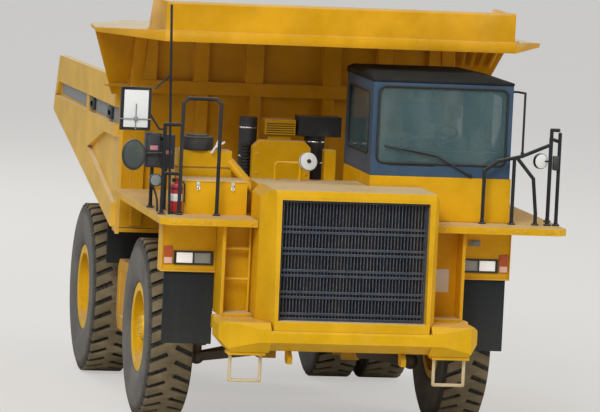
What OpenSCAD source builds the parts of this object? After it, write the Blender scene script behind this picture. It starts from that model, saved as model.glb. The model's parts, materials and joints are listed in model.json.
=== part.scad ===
/* [Chassis] */
// Distance between the front and rear axles
wheelbase = 3750; // [3700:10:3800]
// Front axle to the front face of the bumper
front_overhang = 2450; // [2430:5:2480]
// Rear axle to the tip of the body's tail
rear_overhang = 2170; // [2100:10:2200]
// Middle of the left front tyre to the middle of the right one
front_track = 3150; // [3130:5:3160]
// Outside face of one frame rail to the outside face of the other
frame_w = 1000; // [960:10:1020]
// Width of one box-section frame rail
rail_w = 150; // [130:5:170]
// Underside of the frame rails at the front
frame_z = 1000; // [990:5:1020]
// Depth of the frame rails at the front
rail_h = 440; // [400:10:460]

/* [Wheels] */
// Radius over the lugs
tyre_r = 935; // [925:1:940]
// Width of a tyre across its sidewalls
tyre_w = 500; // [480:5:510]
// Depth of the tread grooves
lug_depth = 42; // [30:1:50]
// Width of one tread groove
groove_w = 52; // [40:1:60]
// Lugs round each side of a tyre
lug_count = 36; // [30:1:38]
// Radius over the rim flanges
rim_r = 470; // [450:5:480]
// Middle of the outer rear tyre to the middle of the inner one
dual_pitch = 572; // [560:2:590]
// Truck's middle to the outer face of the outer rear tyre
rear_face_y = 1830; // [1810:5:1840]

/* [Steering] */
// Truck's middle to each kingpin
kingpin_y = 1150; // [1140:5:1160]
// Radius of a kingpin strut
strut_r = 85; // [75:1:95]
// Length of the steering arms behind the kingpins
steer_arm = 400; // [380:5:420]
// Diameter of the track rod
track_rod_d = 70; // [50:1:80]
// Radius of the front wheel spindles
spindle_r = 80; // [70:1:90]

/* [Dump body] */
// Half of the body's width
body_half_w = 1850; // [1830:5:1870]
// Thickness of the body's floor and walls
body_wall = 40; // [30:1:50]
// Body's front wall behind the front axle
body_front_x = 1400; // [1390:5:1420]
// Height of the floor's front edge
floor_front_z = 1830; // [1825:1:1850]
// Height of the floor's tail edge
floor_tail_z = 2745; // [2720:5:2760]
// Height of the body's side rails
side_top_z = 3450; // [3400:5:3480]
// Depth of the box rail along the top of a side
side_rail_h = 340; // [300:5:360]
// Depth of the channel below the side rail
channel_h = 170; // [140:5:190]
// Thickness of the side rail outside the side wall
side_rail_t = 50; // [30:5:60]
// Height of the canopy's underside
canopy_z = 4020; // [4000:5:4040]
// Canopy's front edge ahead of the front axle
canopy_front_x = 1200; // [1150:10:1220]
// Half of the canopy's width at its front edge
canopy_half_w = 1840; // [1800:5:1860]
// Half of the canopy's width at the wing tips
wing_half_w = 2380; // [2350:5:2400]
// Top of the canopy's front wall
canopy_top_z = 4430; // [4400:5:4440]
// Height of the hinge pins of the body
hinge_z = 1950; // [1930:5:1970]
// Hinge pins of the body behind the rear axle
hinge_back = 1200; // [1190:5:1220]
// Radius of the hinge pins of the body
hinge_r = 60; // [50:1:70]

/* [Hoists] */
// Foot pins behind the front axle
hoist_foot_x = 2950; // [2930:5:2970]
// Height of the foot pins
hoist_foot_z = 850; // [840:5:870]
// Head pins behind the front axle
hoist_head_x = 2750; // [2720:5:2780]
// Height of the head pins
hoist_head_z = 1985; // [1970:5:1990]
// Truck's middle to each hoist
hoist_y = 640; // [630:2:650]
// Radius of a hoist barrel
barrel_r = 85; // [80:1:90]
// Radius of the sleeve that slides in the barrel
sleeve_r = 68; // [64:1:70]
// Radius of the rod that slides in the sleeve
rod_r = 50; // [46:1:54]

/* [Front end] */
// Half of the radiator shell's width
shell_half_w = 930; // [920:5:940]
// Top of the radiator shell and the hood
hood_z = 2630; // [2600:5:2640]
// Width of the shell's frame beside the grille
grille_margin = 165; // [150:5:190]
// Bottom of the grille opening
grille_z0 = 1306; // [1290:2:1320]
// Top of the grille opening
grille_z1 = 2533; // [2510:2:2540]
// Upright slats in the grille
slat_count = 44; // [38:1:48]
// Pairs of level bars in the grille
bar_pairs = 5; // [4:1:6]
// Top of the bumper beam
bumper_z = 1210; // [1200:2:1220]
// Half of the bumper beam's width between its end blocks
beam_half_w = 831; // [820:1:840]
// Half of the bumper's width over its end blocks
bumper_half_w = 1340; // [1300:5:1360]
// Radius of the holes in the tow lugs
tow_r = 30; // [25:1:32]
// Lowest point of the steps that hang below the bumper
step_z = 665; // [650:5:690]

/* [Decks] */
// Top of both decks
deck_z = 2280; // [2260:5:2290]
// Thickness of the deck plates with their lips
deck_t = 70; // [60:2:80]
// Front edge of the decks ahead of the front axle
deck_front_x = 2000; // [1980:5:2020]
// Truck's middle to the right deck's outer edge
deck_right_y = 1930; // [1900:5:1950]
// Truck's middle to the left deck's outer edge
deck_left_y = 2300; // [2280:5:2320]
// Lamp panels ahead of the front axle
lamp_x = 1470; // [1460:2:1490]
// Diameter of the handrail tubes
rail_d = 38; // [30:1:42]

/* [Cab] */
// Front face of the cab ahead of the front axle
cab_front_x = 1500; // [1490:2:1510]
// Length of the cab
cab_len = 1380; // [1340:5:1400]
// Inner side of the cab
cab_in_y = 300; // [290:2:310]
// Outer side of the cab
cab_out_y = 1770; // [1760:2:1780]
// Bottom of the cab shell
cab_z = 2740; // [2720:5:2750]
// Top of the cab shell
cab_top_z = 3700; // [3680:5:3720]
// Thickness of the cab's walls
cab_wall = 45; // [35:1:55]
// Thickness of the cab's roof
roof_t = 90; // [70:2:100]
// Width of the cab's door
door_w = 780; // [740:5:800]
// Thickness of the glass
glass_t = 10; // [6:1:14]

/* [Hidden] */
$fn = 48;

yellow = "#e8a810";
black = "#1d2126";
steel = "#6b6f72";
rubber = "#3a3935";
glass = "#7f9aa5";

// Part frame: origin on the ground below the middle of the overall length
front_axle_x = (wheelbase + rear_overhang - front_overhang) / 2;
axle_z = tyre_r;
tail_x = -wheelbase - rear_overhang;
hinge_x = -wheelbase - hinge_back;
run_fit = 0.05;
move_gap = 6;

module truck() { translate([front_axle_x, 0, 0]) children(); }

// Same shape on the left and on the right
module both() {
    children();
    mirror([0, 1, 0]) children();
}

// Block between two values of x, y and z
module block(x, y, z) {
    translate([x[0], y[0], z[0]]) cube([x[1] - x[0], y[1] - y[0], z[1] - z[0]]);
}

// Outline in x and z, as thick as y[0] to y[1]
module side_plate(points, y) {
    translate([0, y[1], 0]) rotate([90, 0, 0]) linear_extrude(y[1] - y[0]) polygon(points);
}

// Outline in y and z, as thick as x[0] to x[1]
module front_plate(points, x) {
    translate([x[0], 0, 0]) rotate([90, 0, 90]) linear_extrude(x[1] - x[0]) polygon(points);
}

// Outline in x and y, as thick as z[0] to z[1]
module plan_plate(points, z) {
    translate([0, 0, z[0]]) linear_extrude(z[1] - z[0]) polygon(points);
}

// Straight round bar from p to q
module bar(p, q, d) {
    v = q - p;
    length = norm(v);
    translate(p) rotate([0, acos(v[2] / length), atan2(v[1], v[0])]) cylinder(h = length, d = d);
}

// Bent tube through a list of points, with round corners
module tube(points, d) {
    for (i = [0 : len(points) - 2]) bar(points[i], points[i + 1], d);
    if (len(points) > 2) for (i = [1 : len(points) - 2]) translate(points[i]) sphere(d = d + 2);
}

// Cylinder along Y between two values of y
module pin(x, z, r, y) {
    translate([x, y[0], z]) rotate([-90, 0, 0]) cylinder(h = y[1] - y[0], r = r);
}

// Height of the body floor's top at x
floor_slope = (floor_tail_z - floor_front_z) / (-tail_x - body_front_x);
function floor_z(x) = floor_front_z + (-body_front_x - x) * floor_slope;

// FRAME AND AXLES

rail_out = frame_w / 2;
rail_in = rail_out - rail_w;
frame_front_x = front_overhang - 400;
frame_top = frame_z + rail_h;
body_rail_h = 180;
pad_gap = 6;
hinge_tip_x = hinge_x - 130;
// Height of the underside of the body's long rails at x
function body_rail_z(x) = floor_z(x) - body_wall - body_rail_h;
strut_top_z = 2050;
tower_x = 170;

// Distance from the hinge to the frame's top edge, which the body's rails turn round
tip_turn = (body_rail_z(hinge_x) - hinge_z) * cos(atan(floor_slope)) - pad_gap;
tip_a = asin((hinge_x - hinge_tip_x) / tip_turn);

rail_outline = [
    [frame_front_x, frame_z], [frame_front_x, frame_top], [-body_front_x + 150, frame_top],
    [-body_front_x - 100, body_rail_z(-body_front_x - 100) - pad_gap],
    for (a = [atan(floor_slope), 0, -tip_a / 2, -tip_a])
        [hinge_x + tip_turn * sin(a), hinge_z + tip_turn * cos(a)],
    [hinge_tip_x, hinge_z - 150], [-wheelbase - 500, hinge_z - 360], [-wheelbase + 650, frame_z + 250],
    [-body_front_x - 350, frame_z]
];
// Cross members: x, z of the middle, radius
cross_tubes = [
    [1200, frame_z + 220, 110], [-900, frame_z + 220, 110], [-2250, frame_z + 280, 110],
    [-wheelbase - 300, hinge_z - 120, 120]
];

module frame_rails() {
    color(yellow) truck() both() difference() {
        side_plate(rail_outline, [rail_in, rail_out]);
        pin(hinge_x, hinge_z, hinge_r + run_fit, [rail_in - 1, rail_out + 1]);
    }
}

tow_back = 75;
lug_t = 60;
tower_in = kingpin_y - strut_r - 160;
tower_out = kingpin_y - strut_r - 20;
// Cross members, strut towers, brackets and hangers that are welded to the rails
module frame_members() {
    color(yellow) truck() {
        for (c = cross_tubes) pin(c[0], c[1], c[2], [-rail_in, rail_in]);
        // strut towers that carry the tops of the front struts
        both() {
            block([-tower_x, tower_x], [rail_out, tower_out], [frame_top - 160, frame_top]);
            block([-tower_x, tower_x], [tower_in, tower_out], [frame_top - 1, strut_top_z]);
            block([-tower_x, tower_x], [tower_out - 1, kingpin_y + strut_r + 20],
                [strut_top_z - 40, strut_top_z]);
        }
        // brackets for the hoist feet, bored for the barrels' pins
        both() difference() {
            side_plate([[-hoist_foot_x - 90, hoist_foot_z - 60], [-hoist_foot_x - 160, frame_z + 330],
                [-hoist_foot_x + 160, frame_z + 330], [-hoist_foot_x + 90, hoist_foot_z - 60]],
                [rail_out, rail_out + foot_plate_t]);
            pin(-hoist_foot_x, hoist_foot_z, foot_pin_r + run_fit,
                [rail_out - 1, rail_out + foot_plate_t + 1]);
        }
        // rear cross member with its tow lug
        difference() {
            union() {
                block([hinge_tip_x + 20, hinge_tip_x + 90], [-rail_in, rail_in],
                    [hinge_z - 150, hinge_z + 10]);
                block([hinge_tip_x - 140, hinge_tip_x + 21], [-80, 80],
                    [hinge_z - 100, hinge_z - 100 + lug_t]);
            }
            translate([hinge_tip_x - tow_back, 0, hinge_z - 101]) cylinder(h = lug_t + 2, r = tow_r);
        }
        // hangers for the lower arms
        both() difference() {
            for (s = [-1, 1]) block([s * arm_spread - 40, s * arm_spread + 40],
                [rail_in, arm_in_y - 15], [arm_in_z - 70, frame_z]);
            translate([-500, arm_in_y, arm_in_z]) rotate([0, 90, 0]) cylinder(h = 1000, r = arm_r);
        }
        // hanger for the nose of the rear axle's trailing frame
        difference() {
            block([nose_x + 60, nose_x + 200], [-rail_in, rail_in], [nose_z - 90, frame_z + 260]);
            translate([nose_x, 0, nose_z]) sphere(r = nose_r);
        }
    }
}

arm_spread = 205;
arm_in_y = 560;
arm_in_z = 740;
arm_out_z = 640;
arm_t = 90;
arm_r = 55;
arm_len = kingpin_y - arm_in_y;
arm_slope = atan((arm_in_z - arm_out_z) / arm_len);

// Lower arms, struts and their pins
module front_suspension() {
    color("#5a5048") truck() both() {
        for (s = [-1, 1]) translate([s * arm_spread - 40, arm_in_y, arm_in_z]) rotate([0, 90, 0])
            cylinder(h = 80, r = arm_r);
        translate([0, arm_in_y, arm_in_z]) rotate([-arm_slope, 0, 0]) translate([0, 0, -arm_t / 2])
            linear_extrude(arm_t) difference() {
                polygon([[-arm_spread - 40, 20], [-70, arm_len], [70, arm_len], [arm_spread + 40, 20]]);
                polygon([[-arm_spread + 50, 19], [-50, arm_len - 150], [50, arm_len - 150],
                    [arm_spread - 50, 19]]);
            }
        translate([0, kingpin_y, arm_out_z]) sphere(r = 82);
        translate([0, kingpin_y, strut_z0]) cylinder(h = strut_top_z - 40 - strut_z0, r = strut_r);
        translate([0, kingpin_y, strut_z0 - 18]) cylinder(h = 19, r = kingpin_r);
        translate([0, kingpin_y, arm_out_z]) cylinder(h = knuckle_z0 + 40 - arm_out_z, r = kingpin_r);
    }
}

kingpin_r = 50;
knuckle_z0 = axle_z - 170;
knuckle_z1 = axle_z + 230;
strut_z0 = knuckle_z1 + move_gap;
hub_in_y = front_track / 2 - 160;

// Axle housing, its trailing frame and the two rear suspension cylinders
rear_in_y = rear_face_y - tyre_w - dual_pitch;
rear_mid_y = rear_face_y - tyre_w / 2 - dual_pitch / 2;
housing_r = 210;
nose_x = -2600;
nose_z = frame_z + 40;
nose_r = 125;
axle_end_r = 140;

module rear_axle() {
    color("#4c4640") truck() difference() {
        union() {
            pin(-wheelbase, axle_z, housing_r, [-rear_in_y + 40, rear_in_y - 40]);
            translate([-wheelbase, 0, axle_z]) sphere(r = 330);
            both() pin(-wheelbase, axle_z, axle_end_r, [rear_in_y - 40, rear_mid_y + 60]);
            // trailing frame to a ball at the front
            for (s = [-1, 1]) bar([-wheelbase, s * 300, axle_z], [nose_x, s * 50, nose_z], 130);
            translate([nose_x, 0, nose_z]) sphere(r = nose_r);
            // suspension cylinders up to the frame
            for (s = [-1, 1]) {
                bar([-wheelbase - 260, s * 200, axle_z + 40], [-wheelbase - 330, s * 200,
                    hinge_z - 230], 150);
                bar([-wheelbase - 330, s * 200, hinge_z - 230], [-wheelbase - 345, s * 200,
                    hinge_z - 120], 110);
                bar([-wheelbase, s * 200, axle_z], [-wheelbase - 260, s * 200, axle_z + 40], 160);
            }
        }
        pin(cross_tubes[3][0], cross_tubes[3][1], cross_tubes[3][2], [-rail_in, rail_in]);
    }
}

// Tanks between the wheels, one on each side
tank_x0 = -wheelbase + 1250;
tank_x1 = tank_x0 + 1170;
tank_z0 = 640;
tank_z1 = 1400;
tank_y = [920, 1620];

module tanks() {
    color(yellow) truck() both() difference() {
        side_plate([[tank_x0, tank_z0 + 120], [tank_x0 + 120, tank_z0], [tank_x1 - 120, tank_z0],
            [tank_x1, tank_z0 + 120], [tank_x1, tank_z1 - 90], [tank_x1 - 90, tank_z1],
            [tank_x0 + 90, tank_z1], [tank_x0, tank_z1 - 90]], tank_y);
        // flat recess in the outer face
        block([tank_x0 + 140, tank_x1 - 140], [tank_y[1] - 15, tank_y[1] + 1],
            [tank_z0 + 150, tank_z1 - 120]);
    }
    color(yellow) truck() both() for (x = [tank_x0 + 250, tank_x1 - 350])
        block([x, x + 100], [rail_out, tank_y[0]], [frame_z + 60, frame_z + 260]);
}

// WHEELS

// Half of a tyre's section: radius and distance from its middle
bead_y = tyre_w / 2 - 68;
tyre_half = [
    [rim_r - 40, bead_y], [rim_r + 4, bead_y], [rim_r + 8, tyre_w / 2 - 28],
    [rim_r + 90, tyre_w / 2 - 7], [rim_r + 180, tyre_w / 2], [rim_r + 270, tyre_w / 2 - 3],
    [tyre_r - 100, tyre_w / 2 - 8], [tyre_r - 60, tyre_w / 2 - 16], [tyre_r, tyre_w / 2 - 38]
];
function mirrored(points) = [for (i = [len(points) - 1 : -1 : 0]) [points[i][0], -points[i][1]]];
rib_y = 26;
groove_turn = 24;

module tyre() {
    difference() {
        rotate([-90, 0, 0]) rotate_extrude($fn = 72) polygon(concat(tyre_half, mirrored(tyre_half)));
        for (side = [-1, 1], i = [0 : lug_count - 1])
            rotate([0, (i + (side > 0 ? 0.5 : 0)) * 360 / lug_count, 0])
                translate([0, side * (rib_y + tyre_w / 3), tyre_r - lug_depth / 2 + 10])
                    rotate([0, 0, -side * groove_turn])
                        cube([groove_w, tyre_w * 2 / 3, lug_depth + 20], center = true);
    }
}

// Rim section between the beads: radius and distance from the rim's middle
flange_y = bead_y + 30;
rim_section = [
    [rim_r - 90, -flange_y], [rim_r - 2, -flange_y], [rim_r - 2, -bead_y - 1],
    [rim_r - 41, -bead_y - 1], [rim_r - 41, bead_y + 1], [rim_r - 2, bead_y + 1],
    [rim_r - 2, flange_y], [rim_r - 90, flange_y], [rim_r - 70, flange_y - 60],
    [rim_r - 70, 60 - flange_y]
];

// Front rim with its dished disc and hub, outer face towards +Y
module front_rim() {
    rotate([-90, 0, 0]) difference() {
        union() {
            rotate_extrude() polygon(rim_section);
            rotate_extrude() polygon([
                [0, 60], [0, 190], [120, 190], [130, 150], [190, 140], [200, 60], [330, 30],
                [rim_r - 60, 50], [rim_r - 60, 10], [320, -20], [190, 0], [190, -160], [0, -160]
            ]);
        }
        translate([0, 0, -200]) cylinder(h = 200, r = spindle_r + run_fit);
    }
}

// Pair of rear rims with the planetary hub, outer face towards +Y
module rear_rims() {
    half = dual_pitch / 2;
    rotate([-90, 0, 0]) difference() {
        union() {
            for (s = [-1, 1]) translate([0, 0, s * half]) rotate_extrude() polygon(rim_section);
            difference() {
                translate([0, 0, flange_y - half]) cylinder(h = dual_pitch - 2 * flange_y,
                    r = rim_r - 45);
                translate([0, 0, flange_y - half - 1]) cylinder(h = dual_pitch - 2 * flange_y + 2,
                    r = rim_r - 89);
            }
            rotate_extrude() polygon([
                [0, 140], [0, 420], [130, 420], [150, 390], [215, 375], [225, 140], [280, 40],
                [rim_r - 60, 40], [rim_r - 60, -40], [250, -40], [220, -70], [220, -150], [0, -150]
            ]);
        }
        translate([0, 0, -200]) cylinder(h = 270, r = axle_end_r + run_fit);
    }
}

front_y = front_track / 2;
outer_rear_y = rear_face_y - tyre_w / 2;

module front_tyre_left() { color(rubber) truck() translate([0, front_y, axle_z]) tyre(); }
module front_tyre_right() { color(rubber) truck() mirror([0, 1, 0]) translate([0, front_y, axle_z]) tyre(); }
module front_rim_left() { color(yellow) truck() translate([0, front_y, axle_z]) front_rim(); }
module front_rim_right() {
    color(yellow) truck() mirror([0, 1, 0]) translate([0, front_y, axle_z]) front_rim();
}
module twin_tyres() {
    for (y = [outer_rear_y, outer_rear_y - dual_pitch]) translate([-wheelbase, y, axle_z]) tyre();
}
module rear_tyres_left() { color(rubber) truck() twin_tyres(); }
module rear_tyres_right() { color(rubber) truck() mirror([0, 1, 0]) twin_tyres(); }
module rear_rims_left() { color(yellow) truck() translate([-wheelbase, rear_mid_y, axle_z]) rear_rims(); }
module rear_rims_right() {
    color(yellow) truck() mirror([0, 1, 0]) translate([-wheelbase, rear_mid_y, axle_z]) rear_rims();
}

// Steering knuckle: kingpin barrel, spindle and the arm behind it
module knuckle() {
    difference() {
        union() {
            translate([0, kingpin_y, knuckle_z0]) cylinder(h = knuckle_z1 - knuckle_z0, r = 95);
            pin(0, axle_z, 120, [kingpin_y, hub_in_y - move_gap]);
            pin(0, axle_z, spindle_r, [kingpin_y, front_y - 40]);
            block([-steer_arm, 0], [kingpin_y - 40, kingpin_y + 40], [axle_z - 75, axle_z - 25]);
            translate([-steer_arm, kingpin_y, axle_z - 75]) cylinder(h = 50, r = 55);
            translate([-steer_arm, kingpin_y, axle_z - 76]) cylinder(h = 120, r = 22);
        }
        translate([0, kingpin_y, knuckle_z0 - 1]) cylinder(h = 42, r = kingpin_r + run_fit);
        translate([0, kingpin_y, knuckle_z1 - 14]) cylinder(h = 15, r = kingpin_r + run_fit);
    }
}
module knuckle_left() { color("#5a5048") truck() knuckle(); }
module knuckle_right() { color("#5a5048") truck() mirror([0, 1, 0]) knuckle(); }

// Track rod between the two steering arms
module track_rod() {
    rod_z = axle_z - 25 + move_gap + track_rod_d / 2;
    color(steel) truck() difference() {
        union() {
            pin(-steer_arm, rod_z, track_rod_d / 2, [-kingpin_y, kingpin_y]);
            both() translate([-steer_arm, kingpin_y, rod_z - track_rod_d / 2])
                cylinder(h = track_rod_d, r = 48);
        }
        translate([-steer_arm, kingpin_y, 0]) cylinder(h = 2000, r = 22 + run_fit);
        translate([-steer_arm, -kingpin_y, 0]) cylinder(h = 2000, r = 28);
    }
}

// HOISTS

hoist_v = [hoist_foot_x - hoist_head_x, 0, hoist_head_z - hoist_foot_z];
hoist_len = norm(hoist_v);
hoist_lean = atan2(hoist_v[0], hoist_v[2]);
eye_r = 70;
eye_w = 90;
rod_eye_r = 50;
foot_pin_r = 40;
foot_plate_t = 35;
head_pin_r = 30;
head_plate_t = 28;
head_gap = 7;

// Children drawn upright, put on the line from a foot pin to a head pin
module on_hoist() {
    truck() both() translate([-hoist_foot_x, hoist_y, hoist_foot_z]) rotate([0, hoist_lean, 0])
        children();
}
barrel_top = hoist_len - 130;

module hoist_barrels() {
    color(black) on_hoist() difference() {
        union() {
            pin(0, 0, eye_r, [-eye_w / 2, eye_w / 2]);
            pin(0, 0, foot_pin_r, [rail_out - hoist_y + 1, 0]);
            translate([0, 0, 45]) cylinder(h = barrel_top - 45, r = barrel_r);
        }
        translate([0, 0, 80]) cylinder(h = hoist_len, r = sleeve_r + run_fit);
    }
}
module hoist_sleeves() {
    color(steel) on_hoist() difference() {
        translate([0, 0, 90]) cylinder(h = barrel_top - 70, r = sleeve_r);
        translate([0, 0, 110]) cylinder(h = hoist_len, r = rod_r + run_fit);
    }
}
module hoist_rods() {
    color("#b9bcc0") on_hoist() difference() {
        union() {
            translate([0, 0, 120]) cylinder(h = hoist_len - 160, r = rod_r);
            pin(0, hoist_len, rod_eye_r, [-eye_w / 2, eye_w / 2]);
        }
        pin(0, hoist_len, head_pin_r + 1, [-eye_w, eye_w]);
    }
}

// DUMP BODY

// Floor with long rails, cross channels, hinge ears and the hoist head pins
bolster_count = 5;
bolster_pitch = 780;
flap_x = -wheelbase + tyre_r + 215;
bolster_x0 = flap_x + bolster_pitch;
ear_y0 = rail_out + move_gap;
ear_y1 = ear_y0 + 90;

module body_floor() {
    x0 = -body_front_x - 2;
    color(yellow) truck() {
        side_plate([[x0, floor_z(x0) - body_wall], [x0, floor_z(x0)], [tail_x, floor_tail_z],
            [tail_x, floor_tail_z - body_wall]],
            [-body_half_w + body_wall, body_half_w - body_wall]);
        both() {
            side_plate([[x0 - 60, floor_z(x0 - 60) - body_wall], [x0 - 60, body_rail_z(x0 - 60)],
                [hinge_tip_x, body_rail_z(hinge_tip_x)], [tail_x + 300, floor_z(tail_x + 300) - 140],
                [tail_x + 300, floor_z(tail_x + 300) - body_wall]], [rail_in, rail_out]);
            // hinge ears outside the frame rails
            side_plate([[hinge_x + 420, floor_z(hinge_x + 420) - body_wall],
                [hinge_x - 260, floor_z(hinge_x - 260) - body_wall],
                [hinge_x - 110, hinge_z - 60], [hinge_x - 50, hinge_z - 110],
                [hinge_x + 50, hinge_z - 110], [hinge_x + 110, hinge_z - 60]],
                [ear_y0, ear_y1]);
            pin(hinge_x, hinge_z, hinge_r, [rail_in, ear_y0 + 10]);
            // hoist head brackets; the rod's eye swings between them
            for (s = [-1, 1]) {
                y = hoist_y + s * (eye_w / 2 + head_gap) - (s < 0 ? head_plate_t : 0);
                y_stub = s < 0 ? [y - 12, y + 1] : [y + head_plate_t - 1, y + head_plate_t + 12];
                side_plate([[-hoist_head_x + 150, floor_z(-hoist_head_x + 150) - body_wall],
                    [-hoist_head_x - 150, floor_z(-hoist_head_x - 150) - body_wall],
                    [-hoist_head_x - 60, hoist_head_z - 60], [-hoist_head_x + 60, hoist_head_z - 60]],
                    [y, y + head_plate_t]);
                pin(-hoist_head_x, hoist_head_z, head_pin_r, y_stub);
            }
        }
        for (i = [0 : bolster_count - 1]) {
            x = bolster_x0 - i * bolster_pitch;
            for (y = [[-body_half_w + body_wall, -hoist_y - 110], [hoist_y + 110, body_half_w - body_wall]])
                side_plate([[x + 70, floor_z(x + 70) - body_wall], [x + 50, floor_z(x) - 150],
                    [x - 50, floor_z(x) - 150], [x - 70, floor_z(x - 70) - body_wall]], y);
        }
    }
}

// Points of a side wall: the tail leans, the lower edge follows the floor
side_lean = 360;
channel_top = side_top_z - side_rail_h;
tail_top_x = tail_x + side_lean;
function tail_at(z) = tail_x + side_lean * (z - floor_tail_z) / (side_top_z - 60 - floor_tail_z);

module body_sides() {
    y0 = body_half_w - body_wall;
    color(yellow) truck() both() {
        side_plate([[-body_front_x, floor_front_z - 60], [-body_front_x, side_top_z],
            [tail_top_x, side_top_z - 60], [tail_x, floor_tail_z],
            [tail_x + 40, floor_tail_z - 60]], [y0, body_half_w]);
        // box rail along the top
        side_plate([[-body_front_x - 60, channel_top + 20], [-body_front_x - 60, side_top_z],
            [tail_top_x, side_top_z - 60], [tail_at(channel_top - 20), channel_top - 20]],
            [body_half_w, body_half_w + side_rail_t]);
        // lower stiffener band with its sloped lower edge
        side_plate([[-body_front_x - 60, channel_top - channel_h],
            [tail_at(channel_top - channel_h - 20), channel_top - channel_h - 20],
            [tail_x + 20, floor_tail_z], [-body_front_x - 60, floor_z(-body_front_x - 60)],
            [-body_front_x - 60, floor_z(-body_front_x - 60) + 260],
            [-3300, floor_z(-3300) + 330], [-2150, channel_top - channel_h - 130],
            [-body_front_x - 60, channel_top - channel_h - 130]],
            [body_half_w, body_half_w + side_rail_t]);
        // plate that closes the channel at the tail
        side_plate([[tail_at(channel_top - channel_h - 21), channel_top - channel_h - 21],
            [tail_at(channel_top - 15), channel_top - 15],
            [tail_at(channel_top - 15) + 190, channel_top - 14],
            [tail_at(channel_top - channel_h - 21) + 60, channel_top - channel_h - 20.5]],
            [body_half_w, body_half_w + side_rail_t]);
        // upright post inside the channel
        side_plate([[-3540, channel_top - channel_h - 12], [-3540, channel_top + 8],
            [-3380, channel_top + 9], [-3380, channel_top - channel_h - 11]],
            [body_half_w, body_half_w + side_rail_t - 14]);
    }
}

// Front wall with its level beam, upright ribs below and panels between broad ribs above
wall_y = body_half_w - body_wall;
front_rib_ys = [0.22 * wall_y, 0.54 * wall_y, wall_y - 170];
front_rib_w = 120;
beam_z = [side_top_z - 150, side_top_z - 10];
beam_t = 90;
panel_ribs = [[0.18 * wall_y, 0.29 * wall_y], [0.51 * wall_y, 0.60 * wall_y], [0.82 * wall_y, wall_y]];
module body_front() {
    color(yellow) truck() {
        block([-body_front_x - body_wall, -body_front_x], [-wall_y, wall_y],
            [floor_front_z + 10, canopy_z]);
        block([-body_front_x, -body_front_x + beam_t], [-wall_y, wall_y], beam_z);
        both() {
            for (y = front_rib_ys)
                block([-body_front_x, -body_front_x + 70], [y - front_rib_w / 2, y + front_rib_w / 2],
                    [floor_front_z + 40, beam_z[0] + 1]);
            for (y = panel_ribs)
                block([-body_front_x, -body_front_x + beam_t - 10], y, [beam_z[1] - 1, canopy_z]);
        }
        block([-body_front_x, -body_front_x + beam_t - 10], [-wall_y, wall_y],
            [canopy_z - 130, canopy_z]);
    }
}

// Canopy: level plate with wings, sloped ears below them, raised edge, front wall and returns
knee_x = 0;
plate_t = 40;
foot_y = body_half_w + side_rail_t;
edge_t = 60;
fascia_x = canopy_front_x - 18;
module ear() {
    intersection() {
        plan_plate([[-body_front_x - 60, wall_y + 1], [-body_front_x - 60, foot_y], [-body_front_x, foot_y],
            [knee_x, wing_half_w], [knee_x + 40, wing_half_w - 20], [knee_x + 40, wall_y + 60],
            [-body_front_x + beam_t + 6, wall_y - 120], [-body_front_x + beam_t + 6, wall_y + 1]],
            [side_top_z - 300, canopy_z + 1]);
        side_plate([[-body_front_x - 60, side_top_z + 0.01], [-body_front_x + 1, side_top_z + 0.01],
            [-body_front_x + 2, side_top_z - 150], [-body_front_x + 60, side_top_z - 150],
            [knee_x + 40, canopy_z - 20], [knee_x + 40, canopy_z + 1], [-body_front_x - 60, canopy_z + 1]],
            [0, wing_half_w + 10]);
    }
}

module canopy() {
    crease = canopy_z + 110;
    color(yellow) truck() {
        plan_plate([[-body_front_x - 60, foot_y], [-body_front_x, foot_y], [knee_x, wing_half_w],
            [canopy_front_x, canopy_half_w], [canopy_front_x, -canopy_half_w], [knee_x, -wing_half_w],
            [-body_front_x, -foot_y], [-body_front_x - 60, -foot_y]], [canopy_z, canopy_z + plate_t]);
        // raised edge along the front and the wings
        block([canopy_front_x - edge_t, canopy_front_x], [-canopy_half_w, canopy_half_w],
            [canopy_z + 1, crease]);
        both() plan_plate([[knee_x, wing_half_w], [canopy_front_x, canopy_half_w],
            [canopy_front_x, canopy_half_w - edge_t], [knee_x, wing_half_w - edge_t]],
            [canopy_z + 2, crease]);
        // front wall and side returns, set back from the edge
        side_plate([[canopy_front_x - edge_t + 5, crease - 20], [fascia_x, crease - 20],
            [fascia_x, canopy_top_z - 25], [fascia_x - 25, canopy_top_z],
            [fascia_x - 110, canopy_top_z], [fascia_x - 110, canopy_top_z - 45],
            [canopy_front_x - edge_t + 5, canopy_top_z - 45]], [10 - canopy_half_w, canopy_half_w - 10]);
        both() side_plate([[fascia_x - 10, canopy_z + 10], [fascia_x - 10, canopy_top_z - 5],
            [canopy_front_x - 900, canopy_top_z - 5], [canopy_front_x - 1150, canopy_z + 10]],
            [canopy_half_w - 60, canopy_half_w - 9]);
        both() ear();
    }
}

// Rubber flaps ahead of the rear tyres
module body_flaps() {
    color(rubber) truck() both() {
        block([flap_x - 9, flap_x + 9], [rear_in_y + 60, rear_face_y - 90],
            [tyre_r + 395, floor_z(flap_x) - 150]);
    }
}

// FRONT END

grille_half_w = shell_half_w - grille_margin;
shell_x0 = cab_front_x + 30;
shell_flank_x = front_overhang - 420;
shell_plan = [
    [shell_x0, -shell_half_w], [shell_flank_x, -shell_half_w], [front_overhang - 20, -shell_half_w + 130],
    [front_overhang - 20, shell_half_w - 130], [shell_flank_x, shell_half_w], [shell_x0, shell_half_w]
];
shell_t = 40;

module shell_solid() {
    intersection() {
        plan_plate(shell_plan, [bumper_z, hood_z]);
        side_plate([[shell_x0, bumper_z], [front_overhang - 20, bumper_z],
            [front_overhang - 85, hood_z - 60], [front_overhang - 110, hood_z], [shell_x0, hood_z]],
            [-shell_half_w, shell_half_w]);
        front_plate([[-shell_half_w, bumper_z], [-shell_half_w, hood_z - 90], [-shell_half_w + 90, hood_z],
            [shell_half_w - 90, hood_z], [shell_half_w, hood_z - 90], [shell_half_w, bumper_z]],
            [shell_x0 - 1, front_overhang]);
    }
}

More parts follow.
